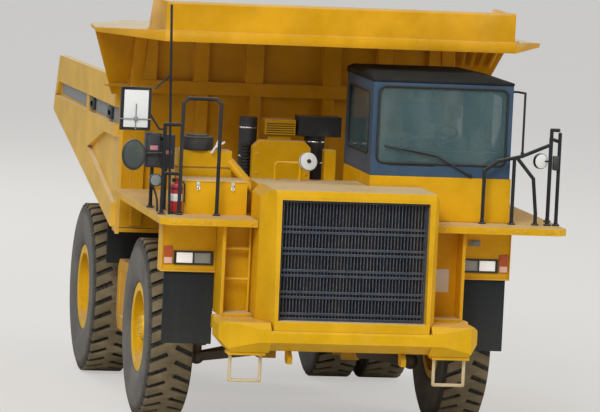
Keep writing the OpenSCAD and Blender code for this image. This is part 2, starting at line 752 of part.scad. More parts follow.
module radiator_shell() {
    color(yellow) truck() difference() {
        shell_solid();
        block([shell_x0 - 1, shell_flank_x - 30], [-shell_half_w + shell_t, shell_half_w - shell_t],
            [bumper_z - 1, hood_z - 100]);
        block([shell_x0 - 1, shell_flank_x + 230], [-grille_half_w, grille_half_w],
            [bumper_z - 1, hood_z - shell_t]);
        block([shell_flank_x - 60, front_overhang + 10], [-grille_half_w, grille_half_w],
            [grille_z0, grille_z1]);
        block([shell_x0 - 1, shell_x0 + 300], [-shell_half_w + 100, shell_half_w - 100],
            [hood_z - 101, hood_z + 1]);
    }
}

module radiator_core() {
    color(black) truck() block([frame_front_x + 10, grille_x - 50],
        [-grille_half_w + 5, grille_half_w - 5], [bumper_z, grille_z1 - 5]);
}

// Grille: upright slats behind pairs of level bars, in a thin frame
grille_x = front_overhang - 165;
bar_pitch = 220;
slat_w = 9;
module grille() {
    w = grille_half_w;
    pitch = 2 * w / (slat_count + 1);
    color("#39424c") truck() {
        difference() {
            block([grille_x - 30, grille_x + 14], [-w, w], [grille_z0, grille_z1]);
            block([grille_x - 31, grille_x + 15], [-w + 24, w - 24], [grille_z0 + 26, grille_z1 - 26]);
        }
        for (i = [1 : slat_count]) {
            y = -w + i * pitch;
            if (abs(y) < w - 24)
                block([grille_x - 22, grille_x], [y - slat_w / 2, y + slat_w / 2],
                    [grille_z0 + 26, grille_z1 - 26]);
        }
        for (i = [0 : bar_pairs - 1], s = [-1, 1]) {
            z = grille_z1 - 303 - i * bar_pitch + s * 26;
            block([grille_x - 8, grille_x + 12], [-w + 24, w - 24], [z - 11, z + 11]);
        }
    }
}

// Hood behind the shell, with the corner for the cab cut out
hood_back_x = 900;
hood_half_w = shell_half_w - 60;
hood_in_y = hood_half_w - 40;
hoop_x = 1100;
hoop_y = [-620, -355];
hoop_d = 26;
module hood() {
    color(yellow) truck() difference() {
        union() {
            block([hood_back_x, shell_x0], [-hood_half_w, hood_half_w], [hood_z - 350, hood_z - 10]);
            block([shell_x0, shell_x0 + 300], [-hood_in_y, hood_in_y], [hood_z - 60, hood_z - 1]);
            tube([[hoop_x, hoop_y[0], hood_z - 40], [hoop_x, hoop_y[0], hood_z + 150],
                [hoop_x, hoop_y[0] + 25, hood_z + 175], [hoop_x, hoop_y[1] - 25, hood_z + 175],
                [hoop_x, hoop_y[1], hood_z + 150], [hoop_x, hoop_y[1], hood_z - 40]], hoop_d);
        }
        block([hood_back_x - 1, shell_x0 + 1], [-hood_in_y, hood_in_y], [hood_z - 351, hood_z - 50]);
        block([hood_back_x - 1, cab_front_x + 6], [cab_in_y - 6, shell_half_w], [hood_z - 360, hood_z + 1]);
    }
}

engine_half_w = 330;
module engine() {
    color(steel) truck() block([-760, 1060], [-engine_half_w, engine_half_w],
        [frame_z + 60, deck_z - 30]);
}

// Bulkhead and covers that stand behind the hood
bay_z = deck_z - 10;
bulk_y = [-664, -44];
bulk_top = 2945;
stack_box_y = [-500, -170];
stack_box_z = [2985, 3150];
small_box_y = [110, 235];
small_box_top = 2860;
module engine_bay() {
    cut = 70;
    color(yellow) truck() {
        // bulkhead with cut top corners
        front_plate([[bulk_y[0], bay_z], [bulk_y[0], bulk_top - cut], [bulk_y[0] + cut, bulk_top],
            [bulk_y[1] - cut, bulk_top], [bulk_y[1], bulk_top - cut], [bulk_y[1], bay_z]], [-60, 60]);
        block([-420, -180], stack_box_y, stack_box_z);
        block([-380, -220], wider(stack_box_y, -40), [bay_z, stack_box_z[0]]);
        block([-100, 40], small_box_y, [bay_z, small_box_top]);
        // floor plate over the engine
        block([-1000, hood_back_x - 6], [-deck_in_y, deck_in_y], [deck_z - 30, deck_z]);
    }
}

// Air cleaner, intake pipes and the control box, all black
module deck_gear() {
    cleaner_y = -(deck_in_y + 466);
    relay_y = [-(deck_right_y - 95), -(deck_right_y - 240)];
    color(black) truck() {
        translate([-300, -660, deck_z + 0.3]) cylinder(h = 880, r = 95);
        translate([-300, 60, deck_z + 0.3]) cylinder(h = 700, r = 110);
        block([-420, -181], [-140, 320], [deck_z + 700, deck_z + 910]);
        translate([830, cleaner_y, cleaner_z + 0.3]) cylinder(h = 130, r = 170);
        translate([830, cleaner_y, cleaner_z + 120]) cylinder(h = 40, r = 120);
        block([1000, 1200], relay_y, [deck_z + 430, deck_z + 780]);
        block([1080, 1120], [relay_y[0] + 50, relay_y[0] + 90], [deck_z + 0.3, deck_z + 431]);
    }
}

// Bumper beam, end blocks and the two steps that hang below
block_z0 = 980;
block_z1 = 1285;
tow_y = 590;
tow_z = 900;
module front_bumper() {
    x1 = front_overhang;
    color(yellow) truck() {
        side_plate([[frame_front_x, block_z0], [x1 - 260, block_z0], [x1 - 50, 1070], [x1, 1090],
            [x1, bumper_z - 20], [x1 - 20, bumper_z], [frame_front_x, bumper_z]],
            [-beam_half_w, beam_half_w]);
        both() difference() {
            intersection() {
                plan_plate([[x1 - 560, beam_half_w], [x1, beam_half_w], [x1, beam_half_w + 110],
                    [x1 - 60, bumper_half_w - 90], [x1 - 190, bumper_half_w],
                    [x1 - 560, bumper_half_w]], [block_z0 - 1, block_z1 + 1]);
                side_plate([[x1 - 560, block_z0], [x1 - 90, block_z0], [x1 - 20, block_z0 + 90],
                    [x1, block_z0 + 110], [x1, block_z1 - 60], [x1 - 60, block_z1],
                    [x1 - 560, block_z1]], [beam_half_w - 1, bumper_half_w + 1]);
                front_plate([[beam_half_w, block_z0], [bumper_half_w - 110, block_z0],
                    [bumper_half_w, block_z0 + 120], [bumper_half_w, block_z1 - 40],
                    [bumper_half_w - 50, block_z1], [beam_half_w, block_z1]], [x1 - 561, x1 + 1]);
            }
            plan_plate(shell_plan, [bumper_z, block_z1 + 1]);
        }
        // tow lugs below the beam
        both() difference() {
            side_plate([[x1 - 370, block_z0 + 1], [x1 - 280, block_z0 + 1], [x1 - 200, block_z0 - 60],
                [x1 - 210, tow_z - 50], [x1 - 330, tow_z - 50], [x1 - 370, tow_z - 10]],
                [tow_y - 25, tow_y + 25]);
            pin(x1 - 265, tow_z, tow_r, [tow_y - 30, tow_y + 30]);
        }
    }
    color("#d8c9a0") truck() both() tube([[x1 - 190, 900, block_z0 - 0.01], [x1 - 190, 900, step_z + 15],
        [x1 - 190, 1212, step_z + 15], [x1 - 190, 1212, block_z0 - 0.01]], 30);
}

// DECKS AND LAMPS

deck_back_x = -1150;
module deck(outer) {
    difference() {
        plan_plate([[deck_back_x, deck_in_y], [deck_front_x, deck_in_y], [deck_front_x, outer - 90],
            [deck_front_x - 90, outer], [deck_back_x, outer]], [deck_z - deck_t, deck_z]);
        block([deck_back_x + 40, shell_x0 - 80], [deck_in_y + 30, outer - 40],
            [deck_z - deck_t - 1, deck_z - 12]);
    }
}
deck_in_y = shell_half_w + 4;
module decks() {
    color(yellow) truck() {
        deck(deck_left_y);
        mirror([0, 1, 0]) deck(deck_right_y);
        // legs down to the frame rails
        both() for (x = deck_leg_xs) {
            block([x - 60, x + 60], [deck_in_y, deck_in_y + 60], [frame_top - 120, deck_z - deck_t]);
            block([x - 60, x + 60], [rail_out, deck_in_y + 1], [frame_top - 120, frame_top]);
        }
    }
}
deck_leg_xs = [-1085, 1250];

lamp_y0 = 1265;
lamp_y1 = 1830;
lamp_z0 = 1685;
lamp_top = deck_z - deck_t;
ladder_x = 1710;
ladder_back_x = 1600;

module lamp_panels() {
    color(yellow) truck() {
        lamp_panel();
        mirror([0, 1, 0]) lamp_panel();
        // ladder in the right recess
        mirror([0, 1, 0]) {
            for (y = ladder_y) tube([[ladder_x, y, block_z1 + 29], [ladder_x, y, lamp_top - 30],
                [ladder_back_x - 10, y, lamp_top - 30]], 28);
            for (z = [deck_z - 630, deck_z - 320]) pin(ladder_x, z, 14, ladder_y);
        }
    }
}
ladder_y = [shell_half_w + 24, lamp_y0 - 55];
module lamp_panel() {
    difference() {
        union() {
            // flat panel round the lamps
            block([lamp_x - 30, lamp_x], [lamp_y0, lamp_y1], [lamp_z0, lamp_top]);
            block([lamp_x - 200, lamp_x - 30], [lamp_y1 - 25, lamp_y1], [lamp_z0, lamp_top]);
            block([lamp_x - 200, lamp_x - 30], [lamp_y0, lamp_y1 - 25], [lamp_z0, lamp_z0 + 25]);
            // cheek beside the ladder and the wall behind it
            block([lamp_x - 30, ladder_x + 150], [lamp_y0 - 30, lamp_y0], [block_z1, lamp_top]);
            block([ladder_back_x - 30, ladder_back_x], [shell_half_w + 4, lamp_y0 - 30],
                [block_z1, lamp_top]);
            block([ladder_back_x, front_overhang - 565], [shell_half_w + 4, lamp_y0 - 30],
                [block_z1, block_z1 + 30]);
        }
        block([lamp_x - 31, lamp_x + 1], head_y, head_z);
        block([lamp_x - 31, lamp_x + 1], turn_y, turn_z);
    }
}

// Openings for the headlamps and the turn lamp
head_y = [lamp_y0 + 35, lamp_y0 + 425];
head_z = [lamp_z0 + 80, lamp_z0 + 210];
turn_y = [lamp_y1 - 115, lamp_y1 - 30];
turn_z = [lamp_z0 + 80, lamp_z0 + 260];
lens_w = 162;
// Range wider by d at both ends
function wider(range, d) = [range[0] - d, range[1] + d];

module headlamps() {
    color(black) truck() both() {
        block([lamp_x - 110, lamp_x + 1], wider(head_y, -2), wider(head_z, -2));
        block([lamp_x, lamp_x + 8], wider(head_y, 10), wider(head_z, 8));
    }
    color("white") truck() both() for (y = [head_y[0] + 22, head_y[1] - 26 - lens_w])
        block([lamp_x + 8, lamp_x + 20], [y, y + lens_w], wider(head_z, -19));
}
module turn_lamps() {
    color("orangered") truck() both() {
        block([lamp_x - 60, lamp_x + 1], wider(turn_y, -2), wider(turn_z, -2));
        block([lamp_x, lamp_x + 14], wider(turn_y, 3), wider(turn_z, 3));
    }
}

module mud_flaps() {
    color(rubber) truck() both() block([lamp_x - 28, lamp_x - 10], [lamp_y0 + 5, 1790], [945, lamp_z0]);
}

// Boxes on the right deck, with the brace that runs down to the hood
cleaner_z = deck_z + 610;
module deck_boxes() {
    box_in = -(deck_in_y + 36);
    shelf_in = -(deck_in_y + 116);
    color(yellow) truck() {
        block([1000, 1480], [-1620, box_in], [deck_z, deck_z + 335]);
        block([700, 960], [-1640, shelf_in], [deck_z, deck_z + 420]);
        block([700, 960], [-1620, shelf_in], [deck_z + 445, cleaner_z]);
        block([720, 940], [-1600, shelf_in - 20], [deck_z + 419, deck_z + 446]);
        difference() {
            bar([900, shelf_in - 30, deck_z + 520], [1150, -(hood_half_w - 60), hood_z - 145], 100);
            block([900, 1400], [-hood_half_w - 0.3, 0], [deck_z, hood_z]);
        }
    }
}

module extinguisher() {
    color("red") truck() translate([deck_front_x - 500, loop_out - 15, deck_z]) {
        translate([0, 0, 0.3]) cylinder(h = 300, r = 62);
        translate([0, 0, 300]) cylinder(h = 60, r = 24);
    }
}

// CAB

cab_back_x = cab_front_x - cab_len;
door_x1 = cab_front_x - 250;
door_x0 = door_x1 - door_w;
door_top = cab_top_z - 70;

module cab_base() {
    color(yellow) truck() {
        difference() {
            block([cab_back_x, cab_front_x], [cab_in_y, cab_out_y + 20], [deck_z, cab_z]);
            block([cab_back_x + 30, cab_front_x - 30], [cab_in_y + 30, cab_out_y - 20],
                [deck_z - 1, cab_z - 30]);
        }
    }
}

window_r = 70;
// Rectangle with round corners
module rounded(w, h, r) {
    difference() {
        square([w, h]);
        for (x = [0, w], y = [0, h]) translate([x, y]) square(2 * r, center = true);
    }
    for (x = [r, w - r], y = [r, h - r]) translate([x, y]) circle(r = r);
}

// Windscreen opening: y0, z0, width, height
ws = [cab_in_y + 60, 2870, cab_out_y - cab_in_y - 115, 790];
// Windows in the cab's inner wall and back: x or y, z, width, height
side_win = [cab_back_x + 160, 2950, cab_len - 320, 640];
back_win = [cab_in_y + 200, 3000, cab_out_y - cab_in_y - 400, 560];
quarter_win = [door_x1 + 60, 3050, 130, 500];
door_win = [door_x0 + 80, 2990, door_w - 160, 570];

module cut_front(w, x, depth) {
    translate([x, w[0], w[1]]) rotate([90, 0, 90]) linear_extrude(depth) rounded(w[2], w[3], window_r);
}
module cut_side(w, y, depth) {
    translate([w[0], y + depth, w[1]]) rotate([90, 0, 0]) linear_extrude(depth) rounded(w[2], w[3], window_r);
}

module cab_shell() {
    color(black) truck() door_hinge_pins();
    color(black) truck() difference() {
        block([cab_back_x, cab_front_x], [cab_in_y, cab_out_y], [cab_z, cab_top_z]);
        block([cab_back_x + cab_wall, cab_front_x - cab_wall], [cab_in_y + cab_wall, cab_out_y - cab_wall],
            [cab_z + cab_wall, cab_top_z + 1]);
        cut_front(ws, cab_front_x - cab_wall - 1, cab_wall + 2);
        cut_front(back_win, cab_back_x - 1, cab_wall + 2);
        cut_side(side_win, cab_in_y - 1, cab_wall + 2);
        // doorway, and the small quarter window ahead of it
        block([door_x0 - 8, door_x1 + 8], [cab_out_y - cab_wall - 1, cab_out_y + 1],
            [cab_z - 1, door_top + 8]);
        cut_side(quarter_win, cab_out_y - cab_wall - 1, cab_wall + 2);
    }
}

module cab_roof() {
    color(black) truck() intersection() {
        block([cab_back_x - 20, cab_front_x + 10], [cab_in_y - 10, cab_out_y + 10],
            [cab_top_z, cab_top_z + roof_t]);
        side_plate([[cab_back_x - 20, cab_top_z], [cab_back_x - 20, cab_top_z + roof_t],
            [cab_front_x - 300, cab_top_z + roof_t], [cab_front_x + 10, cab_top_z + 30],
            [cab_front_x + 10, cab_top_z]], [cab_in_y - 10, cab_out_y + 10]);
        front_plate([[cab_in_y - 10, cab_top_z], [cab_in_y - 10, cab_top_z + roof_t - 30],
            [cab_in_y + 60, cab_top_z + roof_t], [cab_out_y - 300, cab_top_z + roof_t],
            [cab_out_y + 10, cab_top_z + 30], [cab_out_y + 10, cab_top_z]],
            [cab_back_x - 20, cab_front_x + 10]);
    }
}

module cab_glass() {
    color(glass, 0.5) truck() {
        cut_front(ws, cab_front_x - 25, glass_t);
        cut_front(back_win, cab_back_x + 15, glass_t);
        cut_side(side_win, cab_in_y + 15, glass_t);
        cut_side(quarter_win, cab_out_y - 25, glass_t);
    }
}

// Middle of the driver's seat and of the steering wheel
driver_y = 1065;
wheel_x = cab_front_x - 300;
wheel_z = cab_z + 430;
module seat() {
    floor = cab_z + cab_wall;
    color("#2b2b2e") truck() {
        block([560, 780], [driver_y - 110, driver_y + 110], [floor, floor + 180]);
        block([420, 920], [driver_y - 255, driver_y + 255], [floor + 180, floor + 300]);
        block([340, 470], [driver_y - 235, driver_y + 235], [floor + 300, floor + 800]);
    }
}

module steering_column() {
    color("#33363a") truck() {
        block([cab_front_x - cab_wall - 200, cab_front_x - cab_wall], [700, cab_out_y - cab_wall - 60],
            [cab_z + cab_wall, cab_z + 260]);
        bar([cab_front_x - 190, driver_y, cab_z + 250], [wheel_x, driver_y, wheel_z], 60);
        translate([wheel_x, driver_y, wheel_z]) rotate([0, -31, 0]) {
            rotate_extrude() translate([190, 0]) circle(r = 14);
            for (a = [0, 120, 240]) rotate([0, 0, a]) translate([0, -12, -8]) cube([185, 24, 16]);
            translate([0, 0, -20]) cylinder(h = 36, r = 45);
        }
    }
}

// Door hinges: pins on the shell, barrels on the door
door_axis = [door_x1 + 10, cab_out_y + 16];
hinge_zs = [2900, 3450];
hinge_pin_r = 8;
hinge_barrel_r = 15;

module door_hinge_pins() {
    for (z = hinge_zs) {
        translate([door_axis[0], door_axis[1], z]) cylinder(h = 30, r = hinge_barrel_r);
        translate([door_axis[0], door_axis[1], z + 29]) cylinder(h = 60, r = hinge_pin_r);
        block([door_axis[0], door_axis[0] + 36], [cab_out_y - 1, door_axis[1] + 8], [z, z + 30]);
    }
}

module cab_door() {
    color(black) truck() difference() {
        union() {
            block([door_x0, door_x1], [cab_out_y - cab_wall + 4, cab_out_y], [cab_z + 6, door_top]);
            for (z = hinge_zs) {
                translate([door_axis[0], door_axis[1], z + 36]) cylinder(h = 50, r = hinge_barrel_r);
                block([door_axis[0] - 40, door_axis[0]], [cab_out_y + 4, door_axis[1] + 8],
                    [z + 36, z + 86]);
                block([door_axis[0] - 40, door_axis[0] - 14], [cab_out_y - 1, cab_out_y + 5],
                    [z + 36, z + 86]);
            }
        }
        cut_side(door_win, cab_out_y - cab_wall, cab_wall + 2);
        for (z = hinge_zs) translate([door_axis[0], door_axis[1], z + 35])
            cylinder(h = 60, r = hinge_pin_r + run_fit);
    }
}
module door_glass() {
    color(glass, 0.5) truck() cut_side(door_win, cab_out_y - 28, glass_t);
}

// HANDRAILS AND MIRRORS

// Places of the posts on the two decks
d0 = deck_z;
post_x = deck_front_x - 400;
right_y = -(deck_right_y - 60);
loop_out = -(deck_right_y - 240);
loop_in = -(deck_right_y - 630);
left_y = deck_left_y - 40;
left_mid_y = deck_left_y - 130;
grab_y = cab_out_y + 20;
mirror_foot_z = d0 + 750;
// Handrails: each row is one bent tube as a list of points
rail_runs = [
    [[post_x, grab_y - 310, d0], [post_x, grab_y - 310, d0 + 550], [post_x, grab_y - 170, d0 + 650],
        [post_x, grab_y + 80, d0 + 710], [post_x, left_mid_y, d0 + 840]],
    [[post_x, grab_y, d0], [post_x, grab_y, d0 + 700]],
    [[post_x, left_mid_y, d0], [post_x, left_mid_y, d0 + 990], [post_x, left_y - 20, d0 + 990],
        [post_x, left_y, d0 + 950], [post_x, left_y, d0]],
    [[post_x - 380, left_y, d0], [post_x - 380, left_y, d0 + 870], [post_x, left_y, d0 + 870]],
    [[post_x, grab_y + 30, d0 + 690], [post_x, grab_y + 210, d0 + 480],
        [post_x, grab_y + 250, d0 + 120], [post_x, grab_y + 250, d0]],
    [[post_x, loop_out, d0], [post_x, loop_out, d0 + 1140], [post_x, loop_out + 50, d0 + 1190],
        [post_x, loop_in - 50, d0 + 1190], [post_x, loop_in, d0 + 1140], [post_x, loop_in, d0]],
    [[post_x, right_y, d0], [post_x, right_y, d0 + 920], [post_x, loop_out, d0 + 920]],
    [[post_x - 700, right_y, d0], [post_x - 700, right_y, d0 + 770], [post_x, right_y, d0 + 770]],
    [[post_x, right_y + 10, d0 + 420], [post_x, loop_out, d0 + 420]],
    // foot for the cab's mirror
    [[post_x, grab_y + 80, d0 + 710], [post_x, grab_y + 80, mirror_foot_z]]
];
module handrails() {
    color(black) truck() {
        for (run = rail_runs) tube(run, rail_d);
        tube([[post_x, loop_out - 100, d0], [post_x, loop_out - 100, d0 + 60],
            [post_x, loop_out - 170, canopy_z + 400]], 26);
        bar([post_x, loop_out - 155, canopy_z - 320], [post_x, loop_out - 300, canopy_z - 460], 20);
    }
}

mirror_seat_y = right_y - rail_d / 2 - 0.3;
module mirrors() {
    color(black) truck() {
        translate([post_x - 20, right_y - 310, d0 + 1070]) cube([60, 310, 440], center = true);
        tube([[post_x - 20, right_y - 160, d0 + 1020], [post_x, right_y - 60, d0 + 870],
            [post_x, mirror_seat_y, d0 + 870]], 22);
        translate([post_x - 40, right_y - 300, d0 + 600]) rotate([0, 90, 0]) cylinder(h = 45, r = 120);
        tube([[post_x - 20, right_y - 190, d0 + 610], [post_x, right_y - 60, d0 + 620],
            [post_x, mirror_seat_y, d0 + 620]], 22);
        tube([[cab_front_x - 60, cab_out_y + 0.3, cab_top_z - 60], [cab_front_x - 60, cab_out_y + 60,
            cab_top_z - 60], [post_x, grab_y + 80, cab_top_z - 60], [post_x, grab_y + 80,
            mirror_foot_z + 0.3]], 24);
        translate([post_x - 20, left_mid_y - 110, d0 + 665]) rotate([0, 90, 20]) cylinder(h = 35, r = 80);
        tube([[post_x, left_mid_y - 60, d0 + 665], [post_x, left_mid_y - rail_d / 2 - 0.3, d0 + 665]], 20);
    }
    color("white") truck() {
        translate([hoop_x, hoop_y[1] + 75, hood_z + 190]) rotate([-12, 75, 0]) cylinder(h = 34, r = 98);
        tube([[hoop_x + 5, hoop_y[1] + 60, hood_z + 188], [hoop_x, hoop_y[1] + 45, hood_z + 120],
            [hoop_x, hoop_y[1] + hoop_d / 2 + 0.3, hood_z + 120]], 18);
    }
}

frame_rails();
frame_members();
front_bumper();
radiator_shell();
radiator_core();
grille();
hood();
engine();
engine_bay();
decks();
lamp_panels();
mud_flaps();
headlamps();
turn_lamps();
cab_base();
cab_shell();
cab_roof();
cab_glass();
seat();
steering_column();
handrails();
mirrors();
deck_boxes();
deck_gear();
extinguisher();
tanks();
front_suspension();
rear_axle();
body_floor();
body_sides();
body_front();
canopy();
body_flaps();
knuckle_left();
knuckle_right();
track_rod();
front_rim_left();
front_rim_right();
front_tyre_left();
front_tyre_right();
rear_rims_left();
rear_rims_right();
rear_tyres_left();
rear_tyres_right();
hoist_barrels();
hoist_sleeves();
hoist_rods();
cab_door();
door_glass();
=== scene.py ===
"""Looks of a mining dump truck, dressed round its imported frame.

The frame gives every solid at its real size and place, in metres, with +X to the front of
the truck and +Z up. This script gives the solids their finishes and adds the small pieces.
Points in the tables are measured from the ground below the front axle, unless a class says
otherwise.
"""

from __future__ import annotations

import json
import logging
import math
from dataclasses import dataclass, field, replace
from enum import Enum
from functools import cached_property
from typing import Any, Sequence

import bpy
from mathutils import Matrix, Vector

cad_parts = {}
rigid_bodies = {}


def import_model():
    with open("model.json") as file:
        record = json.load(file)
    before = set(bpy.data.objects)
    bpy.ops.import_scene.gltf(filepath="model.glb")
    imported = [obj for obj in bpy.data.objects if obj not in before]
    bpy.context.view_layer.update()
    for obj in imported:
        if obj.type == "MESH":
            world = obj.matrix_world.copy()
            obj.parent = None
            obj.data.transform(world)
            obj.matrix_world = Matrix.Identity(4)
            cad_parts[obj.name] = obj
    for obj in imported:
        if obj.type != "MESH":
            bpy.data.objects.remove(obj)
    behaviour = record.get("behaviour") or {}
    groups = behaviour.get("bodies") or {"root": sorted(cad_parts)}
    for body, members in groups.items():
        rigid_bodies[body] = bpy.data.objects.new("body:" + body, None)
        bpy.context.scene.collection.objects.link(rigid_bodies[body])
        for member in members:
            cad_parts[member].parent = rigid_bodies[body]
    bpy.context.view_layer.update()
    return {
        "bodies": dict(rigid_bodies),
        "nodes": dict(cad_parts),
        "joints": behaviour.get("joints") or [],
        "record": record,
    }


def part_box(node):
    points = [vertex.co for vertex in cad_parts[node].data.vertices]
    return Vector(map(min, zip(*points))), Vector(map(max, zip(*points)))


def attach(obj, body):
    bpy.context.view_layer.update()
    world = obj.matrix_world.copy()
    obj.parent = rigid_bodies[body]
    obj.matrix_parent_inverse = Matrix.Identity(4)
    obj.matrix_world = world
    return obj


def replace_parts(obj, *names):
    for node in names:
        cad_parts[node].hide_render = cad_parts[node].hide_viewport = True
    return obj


LOG = logging.getLogger("dump_truck")
Colour = tuple[float, float, float]
Point = tuple[float, float, float]
Turn = tuple[tuple[float, str], ...]

# Distances in metres at which loose corners and a tube's seams merge.
MERGE = 0.00005
SEAM_MERGE = 0.0002
# Angles between faces that count as flat and as sharp on the frame's solids.
FLAT = math.radians(0.5)
SHARP = math.radians(28.0)
# Least angle in degrees of an edge that is rounded, on a round piece, a bolt and a cushion.
RIM_ANGLE, BOLT_ANGLE, SEAM_ANGLE = 60.0, 70.0, 40.0
# Signs of y for a piece on both sides, and turns that lay a shape's +Z ahead and outwards.
BOTH = (1, -1)
AHEAD: Turn = ((90.0, "Y"),)
OUTWARD: Turn = ((-90.0, "X"),)


class Axis(Enum):
    """Direction along which a round piece is laid."""

    X = (0.0, math.pi / 2, 0.0)
    Z = (0.0, 0.0, 0.0)


class Side(Enum):
    """Side of the truck, as the sign of y."""

    LEFT = 1
    RIGHT = -1

    @property
    def label(self) -> str:
        """The side as it stands in names."""
        return self.name.lower()


class Value:
    """A shader socket that takes part in arithmetic."""

    def __init__(self, graph: Graph, socket: Any) -> None:
        """Keeps the graph that the socket belongs to."""
        self.graph, self.socket = graph, socket

    def _math(self, operation: str, *values: Any) -> Value:
        """Adds one Math node with sockets or numbers at its inputs."""
        return self.graph.add("ShaderNodeMath", {"operation": operation}, dict(enumerate(values)))

    def __add__(self, other: Any) -> Value:
        """Adds a value."""
        return self._math("ADD", self, other)

    def __radd__(self, other: Any) -> Value:
        """Adds to a value."""
        return self._math("ADD", other, self)

    def __sub__(self, other: Any) -> Value:
        """Takes a value away."""
        return self._math("SUBTRACT", self, other)

    def __rsub__(self, other: Any) -> Value:
        """Takes this from a value."""
        return self._math("SUBTRACT", other, self)

    def __mul__(self, other: Any) -> Value:
        """Multiplies by a value."""
        return self._math("MULTIPLY", self, other)

    def least(self, other: Any) -> Value:
        """The smaller of two values."""
        return self._math("MINIMUM", self, other)

    def most(self, other: Any) -> Value:
        """The larger of two values."""
        return self._math("MAXIMUM", self, other)

    def wave(self) -> Value:
        """The sine of the value."""
        return self._math("SINE", self)

    def root(self) -> Value:
        """The square root of the value."""
        return self._math("SQRT", self)

    def step(self, low: float, high: float) -> Value:
        """A smooth step from 0 at low to 1 at high."""
        links = {"Value": self, "From Min": low, "From Max": high}
        return self.graph.add("ShaderNodeMapRange", {"interpolation_type": "SMOOTHSTEP"}, links)


class Graph:
    """The shader nodes of one material or world."""

    def __init__(self, owner: Any) -> None:
        """Starts with an empty tree.

        Args:
            owner: The material or world.
        """
        owner.use_nodes = True
        self.owner = owner
        self.tree = owner.node_tree
        self.tree.nodes.clear()

    @cached_property
    def place(self) -> Value:
        """The object's own coordinates."""
        return self.add("ShaderNodeTexCoord", out="Object")

    def add(self, kind: str, settings: dict[str, Any] | None = None,
            links: dict[Any, Any] | None = None, out: Any = 0) -> Value:
        """Adds one node.

        Args:
            kind: The node's type.
            settings: Its properties.
            links: A socket or a plain value for each of its inputs.
            out: The name or number of the output that is returned.

        Returns:
            The chosen output.
        """
        node = self.tree.nodes.new(kind)
        for key, value in (settings or {}).items():
            setattr(node, key, value)
        for key, value in (links or {}).items():
            if isinstance(value, Value):
                self.tree.links.new(value.socket, node.inputs[key])
            else:
                node.inputs[key].default_value = value
        return Value(self, node.outputs[out])

    def noise(self, scale: float, detail: float, rise: float = 1.0) -> Value:
        """Cloudy noise on the object's own coordinates.

        Args:
            scale: Cells in a metre.
            detail: Number of octaves.
            rise: Scale along the height, below 1 for upright streaks.

        Returns:
            The noise, from 0 to 1.
        """
        links = {"Vector": self.place, "Scale": (1.0, 1.0, rise)}
        links = {"Vector": self.add("ShaderNodeMapping", links=links), "Scale": scale,
                 "Detail": detail, "Roughness": 0.6}
        return self.add("ShaderNodeTexNoise", links=links, out="Fac")

    def axis(self, name: str, source: Value | None = None) -> Value:
        """The X, Y or Z part of a vector, or of the object's own coordinates."""
        return self.add("ShaderNodeSeparateXYZ", links={0: source or self.place}, out=name)

    def mix(self, factor: Any, first: Any, second: Any) -> Value:
        """Mixes two colours.

        Args:
            factor: Share of the second, from 0 to 1.
            first: Colour or socket.
            second: Colour or socket.

        Returns:
            The mixed colour.
        """
        pair = [c if isinstance(c, Value) else (*c, 1.0) for c in (first, second)]
        settings = {"data_type": "RGBA", "clamp_factor": True}
        return self.add("ShaderNodeMix", settings, {0: factor, 6: pair[0], 7: pair[1]}, out=2)

    def bump(self, height: Value, distance: float, strength: float) -> Value:
        """A normal bumped by a height from 0 to 1, with the relief's depth in metres."""
        links = {"Height": height, "Distance": distance, "Strength": strength}
        return self.add("ShaderNodeBump", links=links, out="Normal")

    def facing_up(self) -> Value:
        """How much the surface faces the sky, from −1 to 1."""
        return self.axis("Z", self.add("ShaderNodeTexCoord", out="Normal"))

    def crevice(self, distance: float) -> Value:
        """How closed in a point is within a distance, from 0 in the open to 1 in a corner."""
        settings = {"samples": 6, "only_local": False}
        return 1.0 - self.add("ShaderNodeAmbientOcclusion", settings, {"Distance": distance},
                              out="AO")

    def edge(self, radius: float) -> Value:
        """How near a sharp edge a point is.

        Args:
            radius: Reach in metres.

        Returns:
            0 on a flat and 1 on an edge.
        """
        soft = self.add("ShaderNodeBevel", {"samples": 4}, {"Radius": radius})
        true = self.add("ShaderNodeNewGeometry", out="Normal")
        settings = {"operation": "DOT_PRODUCT"}
        same = self.add("ShaderNodeVectorMath", settings, {0: soft, 1: true}, out="Value")
        return (1.0 - same).step(0.01, 0.12)

    def finish(self, tint: Value, rough: Any, links: dict[str, Any]) -> Any:
        """Closes a material with the surface shader, given its colour, roughness and the rest."""
        links = {"Base Color": tint, "Roughness": rough, **links}
        return self.close(self.add("ShaderNodeBsdfPrincipled", links=links))

    def close(self, surface: Value) -> Any:
        """Wires a finished surface to the output.

        Args:
            surface: The shader's output.

        Returns:
            The material or world.
        """
        kind = "World" if isinstance(self.owner, bpy.types.World) else "Material"
        end = self.tree.nodes.new(f"ShaderNodeOutput{kind}")
        self.tree.links.new(surface.socket, end.inputs["Surface"])
        return self.owner


DUST: Colour = (0.68, 0.58, 0.41)
# Near-black brown laid into corners: grime and painted shade.
MUD: Colour = (0.20, 0.135, 0.07)
GRIME_AND_SHADE: Colour = (0.09, 0.05, 0.02)
SIDEWALL: Colour = (0.095, 0.094, 0.09)


@dataclass(frozen=True)
class Finish:
    """What every finish has: its name, its colour and the record's slot that it stands for."""

    name: str
    colour: Colour
    slot: str = ""

    def graph(self) -> Graph:
        """Starts the finish's material."""
        return Graph(bpy.data.materials.new(self.name))


